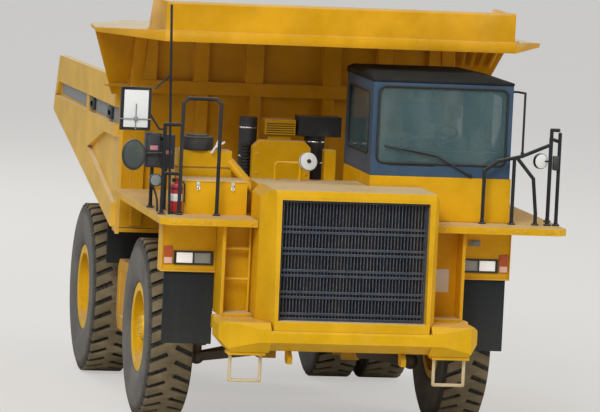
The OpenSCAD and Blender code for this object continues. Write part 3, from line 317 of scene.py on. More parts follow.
@dataclass(frozen=True)
class Paint(Finish):
    """Paint on sheet metal, with dust on what faces up, grime and painted shade in corners, and
    worn edges with a painted highlight.
    """

    slot: str = "yellow_paint"
    dust: float = 0.75
    low_dirt: float = 0.6
    low_top: float = 1.1
    wear: float = 0.5
    worn: Colour = (0.62, 0.42, 0.12)
    roughness: float = 0.38
    dent: float = 0.0012
    tread: float = 0.0
    tread_rows: float = 90.0
    film: float = 0.07
    edge_reach: float = 0.012
    corner_reach: float = 0.10

    def build(self) -> Any:
        """Builds the material.

        Returns:
            The material.
        """
        g = self.graph()
        cloud, fine, streak = g.noise(1.7, 5.0), g.noise(38.0, 6.0), g.noise(5.0, 5.0, 0.12)
        faded = tuple(min(1.0, c * 1.11 + 0.008) for c in self.colour)
        deep = tuple(c * 0.87 for c in self.colour)
        tint = g.mix(cloud.step(0.25, 0.75), deep, faded)
        # Lighter edges: worn paint and a painted edge highlight.
        edge = g.edge(self.edge_reach) * fine.step(0.35, 0.62) * self.wear
        tint = g.mix(edge, tint, self.worn)
        # Grime and painted shade: an occlusion mask darkens corners towards near-black brown.
        corner = g.crevice(self.corner_reach).step(0.30, 0.95) * streak.step(0.3, 0.7)
        tint = g.mix(corner * 0.7, tint, GRIME_AND_SHADE)
        low = 1.0 - g.axis("Z").step(0.3, self.low_top)
        low = low * (streak * 0.6 + fine * 0.6).step(0.45, 0.85)
        tint = g.mix(low * self.low_dirt, tint, MUD)
        tint = g.mix(streak.step(0.45, 0.8) * self.film, tint, DUST)
        settled = g.facing_up().step(0.6, 0.92) * (cloud * 0.5 + fine * 0.5).step(0.22, 0.52)
        tint = g.mix(settled * self.dust, tint, DUST)
        rough = self.roughness + settled * 0.4 + low * 0.3 + fine * 0.12
        relief = cloud * 0.85 + fine * 0.15
        if self.tread:
            across = ((g.axis("X") + g.axis("Y")) * self.tread_rows).wave()
            along = ((g.axis("X") - g.axis("Y")) * self.tread_rows).wave()
            relief = relief + (across * along).step(0.25, 0.5) * self.tread
        return g.finish(tint, rough, {"Coat Weight": 0.02, "Specular IOR Level": 0.14,
                                      "Normal": g.bump(relief, self.dent * 8, 0.35)})


@dataclass(frozen=True)
class Rubber(Finish):
    """Black rubber sheet with dust that rises to a height above the ground."""

    dust: float = 0.15
    top: float = 1.7

    def build(self) -> Any:
        """Builds the material.

        Returns:
            The material.
        """
        g = self.graph()
        cloud, fine, streak = g.noise(3.0, 5.0), g.noise(60.0, 4.0), g.noise(7.0, 5.0, 0.15)
        low = (1.0 - g.axis("Z").step(0.7, self.top)) * (0.4 + cloud * 0.6)
        soiled = (low + streak.step(0.5, 0.85) * 0.4).least(1.0) * self.dust
        tint = g.mix(soiled, self.colour, (0.17, 0.15, 0.12))
        return g.finish(tint, 0.62 + fine * 0.2,
                        {"Specular IOR Level": 0.3,
                         "Normal": g.bump(fine * 0.5 + cloud * 0.5, 0.004, 0.4)})


@dataclass(frozen=True)
class Tyre(Finish):
    """Tyre rubber: a dusty brown tread over grey, ringed sidewalls."""

    centre: Point = (0.0, 0.0, 0.0)
    radius: float = 1.0
    lug: float = 0.022
    rings: float = 230.0

    def build(self) -> Any:
        """Builds the material.

        Returns:
            The material.
        """
        g = self.graph()
        fine, cloud = g.noise(45.0, 6.0), g.noise(2.6, 5.0)
        x, z = g.axis("X") - self.centre[0], g.axis("Z") - self.centre[2]
        reach = (x * x + z * z).root()
        tread = reach.step(self.radius * 0.86, self.radius * 0.93)
        lug_top = reach.step(self.radius - self.lug, self.radius - 0.004)
        side = g.mix(cloud.step(0.3, 0.7), self.colour, (0.17, 0.155, 0.135))
        side = g.mix(fine.step(0.55, 0.8) * 0.5, side, (0.24, 0.22, 0.19))
        soil = g.mix(cloud.step(0.3, 0.75), (0.15, 0.115, 0.06), (0.26, 0.205, 0.12))
        groove = g.mix(fine.step(0.4, 0.7), (0.035, 0.032, 0.028), (0.12, 0.10, 0.075))
        tint = g.mix(tread, side, g.mix(lug_top, groove, soil))
        rings = (reach * self.rings).wave() * (1.0 - tread) * reach.step(0.5, 0.62)
        relief = rings * 0.35 + fine * 0.65
        return g.finish(tint, 0.78 + fine * 0.18, {"Normal": g.bump(relief, 0.004, 0.6)})


@dataclass(frozen=True)
class Metal(Finish):
    """Bare or oily metal."""

    slot: str = "axle_iron"
    roughness: float = 0.4
    metallic: float = 1.0
    dirt: float = 0.4

    def build(self) -> Any:
        """Builds the material.

        Returns:
            The material.
        """
        g = self.graph()
        cloud, fine = g.noise(6.0, 5.0), g.noise(70.0, 5.0)
        soiled = cloud.step(0.4, 0.75) + g.facing_up().step(0.3, 0.9) * 0.6
        soiled = soiled.least(1.0) * self.dirt
        tint = g.mix(soiled, self.colour, (0.19, 0.15, 0.10))
        return g.finish(tint, self.roughness + soiled * 0.4,
                        {"Metallic": self.metallic - soiled * self.metallic,
                         "Normal": g.bump(fine, 0.002, 0.35)})


@dataclass(frozen=True)
class Plastic(Finish):
    """Moulded plastic with a fine grain."""

    slot: str = "black_plastic"
    roughness: float = 0.5
    dust: float = 0.3
    coat: float = 0.0

    def build(self) -> Any:
        """Builds the material.

        Returns:
            The material.
        """
        g = self.graph()
        grain, cloud = g.noise(180.0, 3.0), g.noise(4.0, 5.0)
        settled = (g.facing_up().step(0.4, 0.9) * 0.8 + cloud.step(0.5, 0.8) * 0.3).least(1.0)
        tint = g.mix(settled * self.dust, self.colour, DUST)
        return g.finish(tint, self.roughness + grain * 0.15,
                        {"Coat Weight": self.coat, "Normal": g.bump(grain, 0.0006, 0.4)})


@dataclass(frozen=True)
class Glass(Finish):
    """Tinted window glass with a light film of dust."""

    slot: str = "glass"
    alpha: float = 0.44
    film: float = 0.3

    def build(self) -> Any:
        """Builds the material.

        Returns:
            The material.
        """
        g = self.graph()
        film = g.noise(3.0, 5.0) * 0.4 + g.noise(4.0, 2.0, 0.4) * 0.6
        film = film.step(0.35, 0.75) * self.film
        tint = g.mix(film, self.colour, (0.34, 0.40, 0.38))
        alpha = (self.alpha + film * 0.3).least(1.0)
        return g.finish(tint, 0.05, {"Alpha": alpha, "Coat Weight": 0.4, "IOR": 1.45})


@dataclass(frozen=True)
class Fabric(Finish):
    """Woven seat cloth."""

    slot: str = "seat_cloth"
    threads: float = 2400.0

    def build(self) -> Any:
        """Builds the material.

        Returns:
            The material.
        """
        g = self.graph()
        x, y, z = ((g.axis(name) * self.threads).wave() for name in "XYZ")
        weave = x * y * 0.25 + z * 0.25 + 0.5
        worn = g.noise(12.0, 4.0).step(0.4, 0.75)
        tint = g.mix(weave * 0.5 + worn * 0.3, self.colour, tuple(c * 2.2 for c in self.colour))
        return g.finish(tint, 0.9, {"Sheen Weight": 0.4, "Normal": g.bump(weave, 0.0006, 0.5)})


@dataclass(frozen=True)
class Lens(Finish):
    """Clear lamp lens or mirror face."""

    slot: str = "lamp_glass"
    metallic: float = 0.0
    glow: float = 0.0

    def build(self) -> Any:
        """Builds the material.

        Returns:
            The material.
        """
        g = self.graph()
        dust = g.noise(14.0, 5.0).step(0.45, 0.8) * 0.3
        tint = g.mix(dust, self.colour, DUST)
        # The emission at the lens's own colour is painted light that whitens the lens.
        return g.finish(tint, 0.08 + dust * 0.5,
                        {"Metallic": self.metallic, "Coat Weight": 0.5,
                         "Emission Color": (*self.colour, 1.0), "Emission Strength": self.glow})


# Pale edge colour: worn paint and a painted edge highlight.
PALE_WORN_AND_HIGHLIGHT: Colour = (0.85, 0.62, 0.28)
YELLOW = Paint("yellow_paint", (0.75, 0.405, 0.002), worn=PALE_WORN_AND_HIGHLIGHT, film=0.03)
YELLOW_CLEAN = replace(YELLOW, name="yellow_clean_paint", colour=(0.76, 0.42, 0.002), dust=0.2)
YELLOW_DECK = replace(YELLOW, name="yellow_deck_paint", tread=0.5, dust=0.5)
YELLOW_SIDE = Paint("yellow_side_paint", (0.80, 0.47, 0.05), dust=0.8, low_dirt=0.2, wear=0.35,
                    film=0.30)
YELLOW_BODY = Paint("yellow_body_paint", (0.72, 0.355, 0.002), dust=1.0, low_dirt=0.2, wear=0.35,
                    worn=(0.85, 0.60, 0.25), dent=0.0022)
# A darker copy of the body paint for the body's front wall: painted shade under the canopy.
YELLOW_PAINTED_SHADE = replace(YELLOW_BODY, name="yellow_front_paint", colour=(0.61, 0.31, 0.004),
                       dust=0.9, worn=(0.70, 0.45, 0.16))
YELLOW_LOW = Paint("yellow_low_paint", (0.72, 0.36, 0.012), dust=0.6, low_dirt=0.85, low_top=1.5)
RIM_YELLOW = Paint("rim_paint", (0.90, 0.53, 0.008), dust=0.4, low_dirt=0.35, low_top=1.7,
                   wear=0.8)
BLACK = Paint("black_paint", (0.018, 0.020, 0.024), "black_paint", dust=0.35, low_dirt=0.3,
              wear=0.25, worn=(0.12, 0.12, 0.12), roughness=0.42, dent=0.0004)
CAB_BLUE = Paint("cab_paint", (0.048, 0.092, 0.155), dust=0.25, low_dirt=0.0, wear=0.15,
                 worn=(0.16, 0.18, 0.2), roughness=0.36, dent=0.0006, film=0.02)
ROOF = Paint("cab_roof_paint", (0.008, 0.011, 0.013), dust=0.02, low_dirt=0.0, wear=0.15,
             worn=(0.10, 0.10, 0.10), film=0.01, roughness=0.6)
GRILLE = Paint("grille_paint", (0.040, 0.050, 0.075), dust=0.25, low_dirt=0.2, wear=0.6,
               worn=(0.20, 0.22, 0.26), roughness=0.45, dent=0.0002)
CREAM = Paint("cream_paint", (0.66, 0.54, 0.33), dust=0.5, low_dirt=0.4, wear=0.4)
RED = Paint("red_paint", (0.50, 0.03, 0.04), dust=0.3, low_dirt=0.0, roughness=0.25, dent=0.0002)
FLAP = Rubber("flap_rubber", (0.012, 0.016, 0.019))
IRON = Metal("axle_iron", (0.14, 0.12, 0.10), roughness=0.6, metallic=0.6, dirt=0.75)
ENGINE = Metal("engine_iron", (0.16, 0.16, 0.15), roughness=0.5, metallic=0.6, dirt=0.5)
CHROME = Metal("rod_chrome", (0.72, 0.73, 0.75), "rod_chrome", roughness=0.12, dirt=0.15)
REFLECTOR = Metal("reflector", (0.85, 0.85, 0.83), "rod_chrome", 0.35, 0.5, 0.1)
RUST = Metal("rusty_nuts", (0.14, 0.075, 0.03), roughness=0.7, metallic=0.3, dirt=0.5)
DARK_PLASTIC = Plastic("black_plastic", (0.020, 0.022, 0.025), dust=0.3)
SEAL = Plastic("seal_rubber", (0.010, 0.011, 0.012), roughness=0.6, dust=0.1)
GREY_PLASTIC = Plastic("grey_plastic", (0.24, 0.25, 0.26), dust=0.2)
GREEN_PLASTIC = Plastic("green_plastic", (0.045, 0.060, 0.055), roughness=0.3, dust=0.2)
WHITE = Plastic("white_plastic", (0.80, 0.80, 0.78), roughness=0.35, dust=0.15, coat=0.3)
AMBER = Plastic("amber_plastic", (0.50, 0.085, 0.008), roughness=0.3, dust=0.08, coat=0.1)
PINK = Plastic("plate_pink", (0.55, 0.22, 0.24), dust=0.3)
WINDOW = Glass("glass", (0.090, 0.175, 0.190))
LAMP_CLEAR = Glass("lamp_clear_lens", (0.50, 0.54, 0.52), "lamp_glass", alpha=0.45)
CLOTH = Fabric("seat_cloth", (0.030, 0.032, 0.038))
# The lamp lens glows faintly: painted light that whitens it.
LAMP = Lens("lamp_lens", (0.90, 0.90, 0.88), glow=0.30)
PALE_AMBER = Lens("pale_amber_lens", (0.86, 0.55, 0.42), "amber_plastic")
MIRROR_FACE = Lens("mirror_face", (0.82, 0.84, 0.86), "glass", metallic=0.7)


class Bench:
    """Modelling steps with Blender's own operators, each from a clean selection."""

    @staticmethod
    def clear() -> None:
        """Leaves edit mode and deselects everything."""
        if bpy.context.object is not None and bpy.context.object.mode != "OBJECT":
            bpy.ops.object.mode_set(mode="OBJECT")
        bpy.ops.object.select_all(action="DESELECT")

    @staticmethod
    def pick(parts: Sequence[Any]) -> None:
        """Selects some objects alone and makes the first one active.

        Args:
            parts: The objects.
        """
        Bench.clear()
        for part in parts:
            part.select_set(True)
        bpy.context.view_layer.objects.active = parts[0]

    @staticmethod
    def settle() -> Any:
        """Bakes the active object's place, turn and scale into its mesh."""
        bpy.ops.object.transform_apply(location=True, rotation=True, scale=True)
        return bpy.context.object

    @staticmethod
    def solid(operator: Any, scale: Sequence[float] = (1.0, 1.0, 1.0), **settings: Any) -> Any:
        """Adds one of Blender's primitives alone and settles it.

        Args:
            operator: The primitive's operator.
            scale: Its scale along its own axes.
            settings: The operator's settings.

        Returns:
            The object.
        """
        Bench.clear()
        operator(**settings)
        bpy.context.object.scale = scale
        return Bench.settle()

    @staticmethod
    def edit(operator: Any, **settings: Any) -> None:
        """Runs an edit mode operator on the whole active mesh.

        Args:
            operator: The operator.
            settings: Its settings.
        """
        bpy.ops.object.mode_set(mode="EDIT")
        bpy.ops.mesh.select_all(action="SELECT")
        operator(**settings)
        bpy.ops.object.mode_set(mode="OBJECT")

    @staticmethod
    def modify(piece: Any, kind: str, **settings: Any) -> Any:
        """Adds a modifier.

        Args:
            piece: The object.
            kind: The modifier's type.
            settings: Its properties.

        Returns:
            The modifier.
        """
        modifier = piece.modifiers.new(kind.lower(), kind)
        for key, value in settings.items():
            setattr(modifier, key, value)
        return modifier

    @staticmethod
    def apply(piece: Any, kind: str, **settings: Any) -> None:
        """Adds a modifier and applies it."""
        Bench.pick([piece])
        bpy.ops.object.modifier_apply(modifier=Bench.modify(piece, kind, **settings).name)

    @staticmethod
    def bevel(piece: Any, width: float, angle: float = 0.0, segments: int = 2) -> Any:
        """Rounds the edges of a piece.

        Args:
            piece: The object.
            width: Width of the rounding, or 0 for none.
            angle: Least angle of an edge that is rounded in degrees, or 0 for every edge.
            segments: Faces across the rounding.

        Returns:
            The same object.
        """
        if width:
            Bench.apply(piece, "BEVEL", width=width, segments=segments,
                        limit_method="ANGLE" if angle else "NONE",
                        angle_limit=math.radians(angle))
        return piece

    @staticmethod
    def smooth(piece: Any, angle: float = 35.0) -> Any:
        """Shades round faces smooth and leaves sharp edges.

        Args:
            piece: The object.
            angle: Sharpest smooth angle in degrees.

        Returns:
            The same object.
        """
        Bench.pick([piece])
        bpy.ops.object.shade_smooth_by_angle(angle=math.radians(angle))
        return piece

    @staticmethod
    def carve(parts: Sequence[Any], cutter: Any) -> None:
        """Cuts one solid out of others and removes it.

        Args:
            parts: The objects that are cut.
            cutter: The solid.
        """
        for part in parts:
            Bench.apply(part, "BOOLEAN", operation="DIFFERENCE", object=cutter, solver="EXACT")
        bpy.data.objects.remove(cutter)

    @staticmethod
    def join(parts: Sequence[Any]) -> Any:
        """Joins objects to one piece.

        Args:
            parts: The objects.

        Returns:
            The joined object.
        """
        Bench.pick(parts)
        if len(parts) > 1:
            bpy.ops.object.join()
        return parts[0]

    @staticmethod
    def twin(model: Any) -> Any:
        """Copies an object with a mesh of its own.

        Args:
            model: The object.

        Returns:
            The copy.
        """
        copy = bpy.data.objects.new("twin", model.data.copy())
        bpy.context.scene.collection.objects.link(copy)
        return copy


@dataclass(frozen=True)
class Block:
    """A block with rounded edges between two corners."""

    low: Point
    high: Point
    round_by: float = 0.004

    def build(self, truck: Truck, sign: int = 1) -> Any:
        """Models the block, mirrored where the sign is −1."""
        low, high = (truck.at(corner, sign) for corner in (self.low, self.high))
        return Bench.smooth(Bench.bevel(Bench.solid(
            bpy.ops.mesh.primitive_cube_add, [abs(part) for part in high - low], size=1.0,
            location=(low + high) / 2), self.round_by))


@dataclass(frozen=True)
class Wedge:
    """A six-sided solid between two rings of four corners, given in the same order."""

    below: Sequence[Point]
    above: Sequence[Point]
    round_by: float = 0.006

    def build(self, truck: Truck, sign: int = 1) -> Any:
        """Models the solid.

        Args:
            truck: The truck that it stands on.
            sign: −1 for its mirror image on the other side.

        Returns:
            The object.
        """
        piece = Bench.solid(bpy.ops.mesh.primitive_cube_add, size=2.0)
        ring = {(-1, -1): 0, (1, -1): 1, (1, 1): 2, (-1, 1): 3}
        for vertex in piece.data.vertices:
            x, y, z = (round(part) for part in vertex.co)
            vertex.co = truck.at((self.above if z > 0 else self.below)[ring[(x, y)]], sign)
        Bench.edit(bpy.ops.mesh.normals_make_consistent, inside=False)
        if self.round_by:
            Bench.smooth(Bench.bevel(piece, self.round_by))
        return piece


@dataclass(frozen=True)
class Disc:
    """A round piece with softened rims."""

    centre: Point
    radius: float
    depth: float
    axis: Axis = Axis.Z
    sides: int = 32
    round_by: float = 0.003

    def build(self, truck: Truck, sign: int = 1) -> Any:
        """Models the disc, mirrored where the sign is −1."""
        return Bench.smooth(Bench.bevel(Bench.solid(
            bpy.ops.mesh.primitive_cylinder_add, vertices=self.sides, radius=self.radius,
            depth=self.depth, location=truck.at(self.centre, sign), rotation=self.axis.value),
            self.round_by, RIM_ANGLE))


@dataclass(frozen=True)
class Oval:
    """An oval plate that faces forward, with half its width and height."""

    centre: Point
    half: tuple[float, float]
    depth: float
    round_by: float
    sides: int = 48

    def build(self, truck: Truck, sign: int = 1) -> Any:
        """Models the plate, mirrored where the sign is −1."""
        return Bench.smooth(Bench.bevel(Bench.solid(
            bpy.ops.mesh.primitive_cylinder_add, (self.half[1], self.half[0], 1.0),
            vertices=self.sides, radius=1.0, depth=self.depth,
            location=truck.at(self.centre, sign), rotation=Axis.X.value),
            self.round_by, RIM_ANGLE, 3))


@dataclass(frozen=True)
class Tube:
    """A tube with closed ends along a route whose corners may be rounded."""

    route: Sequence[Point]
    radius: float
    bend: float = 0.0
    steps: int = 6
    sides: int = 3
    closed: bool = False

    def points(self, corners: Sequence[Vector]) -> list[Vector]:
        """Rounds the corners of the route.

        Args:
            corners: The route's corners.

        Returns:
            The points of the rounded route.
        """
        route = [corners[0]]
        for before, corner, after in zip(corners, corners[1:], corners[2:]):
            back, ahead = before - corner, after - corner
            reach = min(self.bend, back.length / 2, ahead.length / 2)
            start, end = (corner + way.normalized() * reach for way in (back, ahead))
            for i in range(self.steps + 1):
                t = i / self.steps
                route.append(start * (1 - t) ** 2 + corner * 2 * t * (1 - t) + end * t ** 2)
        return route + [corners[-1]]

    def build(self, truck: Truck, sign: int = 1) -> Any:
        """Models the tube.

        Args:
            truck: The truck that it stands on.
            sign: −1 for its mirror image on the other side.

        Returns:
            The object.
        """
        route = [truck.at(point, sign) for point in self.route]
        if self.bend:
            route = self.points(route)
        Bench.clear()
        bpy.ops.curve.primitive_bezier_curve_add(location=(0.0, 0.0, 0.0))
        curve = bpy.context.object.data
        curve.splines.clear()
        spline = curve.splines.new("POLY")
        spline.points.add(len(route) - 1)
        for point, place in zip(spline.points, route):
            point.co = (*place, 1.0)
        curve.bevel_depth = self.radius
        curve.bevel_resolution = self.sides
        curve.use_fill_caps = not self.closed
        spline.use_cyclic_u = self.closed
        bpy.ops.object.convert(target="MESH")
        piece = Bench.settle()
        Bench.apply(piece, "WELD", merge_threshold=SEAM_MERGE)
        return Bench.smooth(piece, angle=50.0)


@dataclass(frozen=True)
class Bolt:
    """A hexagon bolt head with its washer, along +Z from the origin."""

    across: float
    height: float
    washer: float = 0.004
    washer_part: float = 0.75
    foot: float = 0.003
    round_part: float = 0.08

    def build(self, truck: Truck) -> Any:
        """Models the bolt head.

        Args:
            truck: The truck, with points measured from zero.

        Returns:
            The object.
        """
        washer = Disc((0.0, 0.0, self.washer / 2), self.across * self.washer_part, self.washer,
                      Axis.Z, 12, 0.0)
        parts = [washer.build(truck), Bench.solid(
            bpy.ops.mesh.primitive_cylinder_add, vertices=6, radius=self.across / 2,
            depth=self.height, location=(0.0, 0.0, self.height / 2 + self.foot))]
        Bench.bevel(parts[1], self.across * self.round_part, BOLT_ANGLE, 1)
        return Bench.join(parts)


@dataclass(frozen=True)
class Copies:
    """A small shape about the origin, turned and copied to each spot."""

    model: Any
    spots: Sequence[Point]
    turn: Turn = ()

    def build(self, truck: Truck, sign: int = 1) -> Any:
        """Models the copies.

        Args:
            truck: The truck that they stand on.
            sign: −1 for their mirror image on the other side.

        Returns:
            The joined object.
        """
        model = self.model.build(replace(truck, origin=(0.0, 0.0, 0.0)))
        turned = Matrix.Identity(4)
        for angle, axis in self.turn:
            angle *= 1 if axis == "Y" else sign
            turned = turned @ Matrix.Rotation(math.radians(angle), 4, axis)
        parts = [Bench.twin(model) for _ in self.spots]
        for part, spot in zip(parts, self.spots):
            part.data.transform(Matrix.Translation(truck.at(spot, sign)) @ turned)
        bpy.data.objects.remove(model)
        return Bench.join(parts)


@dataclass(frozen=True)
class Seal:
    """A rubber seal round a window in a wall across X or Y, with round corners."""

    low: Point
    high: Point
    corner: float = 0.07
    radius: float = 0.013
    steps: int = 6

    def build(self, truck: Truck, sign: int = 1) -> Any:
        """Models the seal.

        Args:
            truck: The truck that it stands on.
            sign: −1 for its mirror image on the other side.

        Returns:
            The object.
        """
        wide = 1 if self.low[0] == self.high[0] else 0
        ends = (self.low[wide] + self.corner, self.high[wide] - self.corner)
        levels = (self.low[2] + self.corner, self.high[2] - self.corner)
        route = []
        for quarter, (end, level) in enumerate(((1, 1), (0, 1), (0, 0), (1, 0))):
            for i in range(self.steps + 1):
                angle = (quarter + i / self.steps) * math.pi / 2
                spot = list(self.low)
                spot[wide] = ends[end] + self.corner * math.cos(angle)
                spot[2] = levels[level] + self.corner * math.sin(angle)
                route.append(spot)
        return Tube(route, self.radius, sides=2, closed=True).build(truck, sign)


@dataclass(frozen=True)
class Pad:
    """One cushion: a crowned block with pulled-in sides and a sewn edge."""

    low: Point
    high: Point
    crown: float
    seam: float = 0.012

    def build(self, truck: Truck, sign: int = 1) -> Any:
        """Models the cushion.

        Args:
            truck: The truck that it stands on.
            sign: −1 for its mirror image on the other side.

        Returns:
            The object.
        """
        low, high = truck.at(self.low, sign), truck.at(self.high, sign)
        pad = Block(self.low, self.high, 0.0).build(truck, sign)
        Bench.apply(pad, "SUBSURF", subdivision_type="SIMPLE", levels=4, render_levels=4)
        middle, half = (low + high) / 2, (high - low) / 2
        for vertex in pad.data.vertices:
            share = [(vertex.co[i] - middle[i]) / half[i] for i in range(3)]
            for i in range(3):
                others = [share[j] for j in range(3) if j != i]
                swell = (1 - others[0] ** 2) * (1 - others[1] ** 2)
                vertex.co[i] -= share[i] * self.crown * (1.0 - swell)
        return Bench.smooth(Bench.bevel(pad, self.seam, SEAM_ANGLE), angle=60.0)


@dataclass(frozen=True)
class Bowl:
    """The half-round dish of a lamp, open to the front."""

    centre: Point
    half: Point = (0.052, 0.079, 0.048)
    wall: float = 0.003

    def build(self, truck: Truck, sign: int = 1) -> Any:
        """Models the dish.

        Args:
            truck: The truck that it stands on.
            sign: −1 for its mirror image on the other side.

        Returns:
            The object.
        """
        bowl = Bench.solid(bpy.ops.mesh.primitive_uv_sphere_add, segments=28, ring_count=14,
                           radius=1.0)
        Bench.edit(bpy.ops.mesh.bisect, plane_co=(0, 0, 0), plane_no=(1, 0, 0), clear_outer=True)
        bowl.scale = self.half
        bowl.location = truck.at(self.centre, sign)
        Bench.apply(Bench.settle(), "SOLIDIFY", thickness=self.wall, offset=1.0)
        return Bench.smooth(bowl, angle=60.0)


@dataclass(frozen=True)
class Piece:
    """One piece: its name, its finish, the shapes that it is joined from and its body.

    A sign of −1 adds the shapes' mirror image.
    """

    name: str
    finish: Finish
    shapes: Sequence[Any]
    body: str = "chassis"
    signs: tuple[int, ...] = (1,)

    def on(self, side: Side) -> Piece:
        """The piece on one side of the truck, with {0} in its names filled in."""
        return replace(self, name=self.name.format(side.label),
                       body=self.body.format(side.label), signs=(side.value,))


@dataclass
class Truck:
    """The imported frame, the place that points are measured from and the finishes made."""

    frame: dict[str, Any]
    origin: Point
    made: dict[str, Any] = field(default_factory=dict)

    def at(self, point: Sequence[float], sign: int = 1) -> Vector:
        """Gives a point's place in the frame, mirrored where the sign is −1."""
        return Vector((point[0] + self.origin[0], sign * point[1] + self.origin[1],
                       point[2] + self.origin[2]))

    def coat(self, piece: Any, finish: Finish) -> None:
        """Gives an object its finish, built when it is first asked for.

        Args:
            piece: The object.
            finish: Its finish.
        """
        if finish.name not in self.made:
            self.made[finish.name] = finish.build()
        piece.data.materials.clear()
        piece.data.materials.append(self.made[finish.name])

    def fit(self, piece: Any, name: str, finish: Finish, body: str = "chassis") -> Any:
        """Names a new piece, gives it its finish and fixes it to a body.

        Args:
            piece: The object.
            name: Its name.
            finish: Its finish.
            body: The body that carries it.

        Returns:
            The same object.
        """
        piece.name = piece.data.name = name
        self.coat(piece, finish)
        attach(piece, body)
        LOG.info("%s: %d faces on %s", piece.name, len(piece.data.polygons), body)
        return piece

    def make(self, piece: Piece) -> Any:
        """Builds a piece from its shapes and fits it."""
        parts = [shape.build(self, sign) for sign in piece.signs for shape in piece.shapes]
        return self.fit(Bench.join(parts), piece.name, piece.finish, piece.body)


@dataclass
class Assembly:
    """A group of pieces on the truck."""

    truck: Truck
    pieces: tuple[Piece, ...] = ()

    def build(self) -> None:
        """Builds the pieces."""
        for piece in self.pieces:
            self.truck.make(piece)


@dataclass
class Solids(Assembly):
    """The frame's own solids, with the finish and the edge rounding of each."""

    dresses: tuple[tuple[str, Finish, float], ...] = (
        ("frame_rails", YELLOW_LOW, 0.010), ("frame_members", YELLOW_LOW, 0.006),
        ("front_bumper", YELLOW_CLEAN, 0.012), ("radiator_shell", YELLOW, 0.012),
        ("radiator_core", BLACK, 0.0), ("grille", GRILLE, 0.0), ("hood", YELLOW, 0.012),
        ("engine", ENGINE, 0.02), ("engine_bay", YELLOW, 0.008), ("decks", YELLOW_DECK, 0.006),
        ("lamp_panels", YELLOW, 0.005), ("mud_flaps", FLAP, 0.004),
        ("headlamps", BLACK, 0.004), ("turn_lamps", AMBER, 0.006), ("cab_base", YELLOW, 0.010),
        ("cab_shell", CAB_BLUE, 0.010), ("cab_roof", ROOF, 0.014), ("cab_glass", WINDOW, 0.0),
        ("seat", CLOTH, 0.03), ("steering_column", DARK_PLASTIC, 0.004),
        ("handrails", BLACK, 0.0), ("mirrors", BLACK, 0.006), ("deck_boxes", YELLOW, 0.008),
        ("deck_gear", DARK_PLASTIC, 0.008), ("extinguisher", RED, 0.008),
        ("tanks", YELLOW_LOW, 0.012), ("front_suspension", IRON, 0.006),
        ("rear_axle", IRON, 0.006), ("body_floor", YELLOW_BODY, 0.008),
        # The body's front wall takes the darker paint: painted shade under the canopy.
        ("body_sides", YELLOW_SIDE, 0.010), ("body_front", YELLOW_PAINTED_SHADE, 0.010),
        ("canopy", YELLOW_BODY, 0.012), ("body_flaps", FLAP, 0.0),
        ("knuckle_left", IRON, 0.006), ("knuckle_right", IRON, 0.006),
        ("track_rod", IRON, 0.004), ("hoist_barrels", BLACK, 0.004),
        ("hoist_sleeves", CHROME, 0.0), ("hoist_rods", CHROME, 0.0),
        ("cab_door", CAB_BLUE, 0.008), ("door_glass", WINDOW, 0.0),
    )
    wheel_ends: tuple[tuple[str, str, str], ...] = (("front", "front_rim", "front_tyre"),
                                                    ("rear", "rear_rims", "rear_tyres"))
    wheel_round: float = 0.006

    def dress(self, node: str, finish: Finish, round_by: float, segments: int = 2) -> None:
        """Gives a solid its finish and rounds its edges.

        Args:
            node: The solid's name.
            finish: Its finish.
            round_by: Width of the rounding, or 0 for none.
            segments: Faces across the rounding.
        """
        solid = self.truck.frame["nodes"][node]
        self.truck.coat(solid, finish)
        if round_by:
            Bench.modify(solid, "WELD", merge_threshold=MERGE)
            Bench.modify(solid, "DECIMATE", decimate_type="DISSOLVE", angle_limit=FLAT)
            Bench.modify(solid, "BEVEL", width=round_by, segments=segments,
                         limit_method="ANGLE", angle_limit=SHARP, harden_normals=True)

    def build(self) -> None:
        """Gives every solid its finish."""
        for node, finish, round_by in self.dresses:
            self.dress(node, finish, round_by)
        for end, rim, tyre in self.wheel_ends:
            for side in Side:
                low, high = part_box(f"{tyre}_{side.label}")
                rubber = Tyre(f"{end}_tyre_rubber_{side.label}", SIDEWALL,
                              centre=tuple((low + high) / 2), radius=(high.z - low.z) / 2)
                self.dress(f"{tyre}_{side.label}", rubber, self.wheel_round, 1)
                self.dress(f"{rim}_{side.label}", RIM_YELLOW, self.wheel_round)


def ring(out: float, radius: float, count: int, start: float = 0.0) -> list[Point]:
    """Spots on a circle round an axle.

    Args:
        out: Distance of the circle outwards from the wheel's middle.
        radius: Its radius.
        count: Number of spots.
        start: Angle of the first one in radians.

    Returns:
        The spots, measured from the wheel's middle.
    """
    angles = [start + i * math.tau / count for i in range(count)]
    return [(math.cos(angle) * radius, out, math.sin(angle) * radius) for angle in angles]


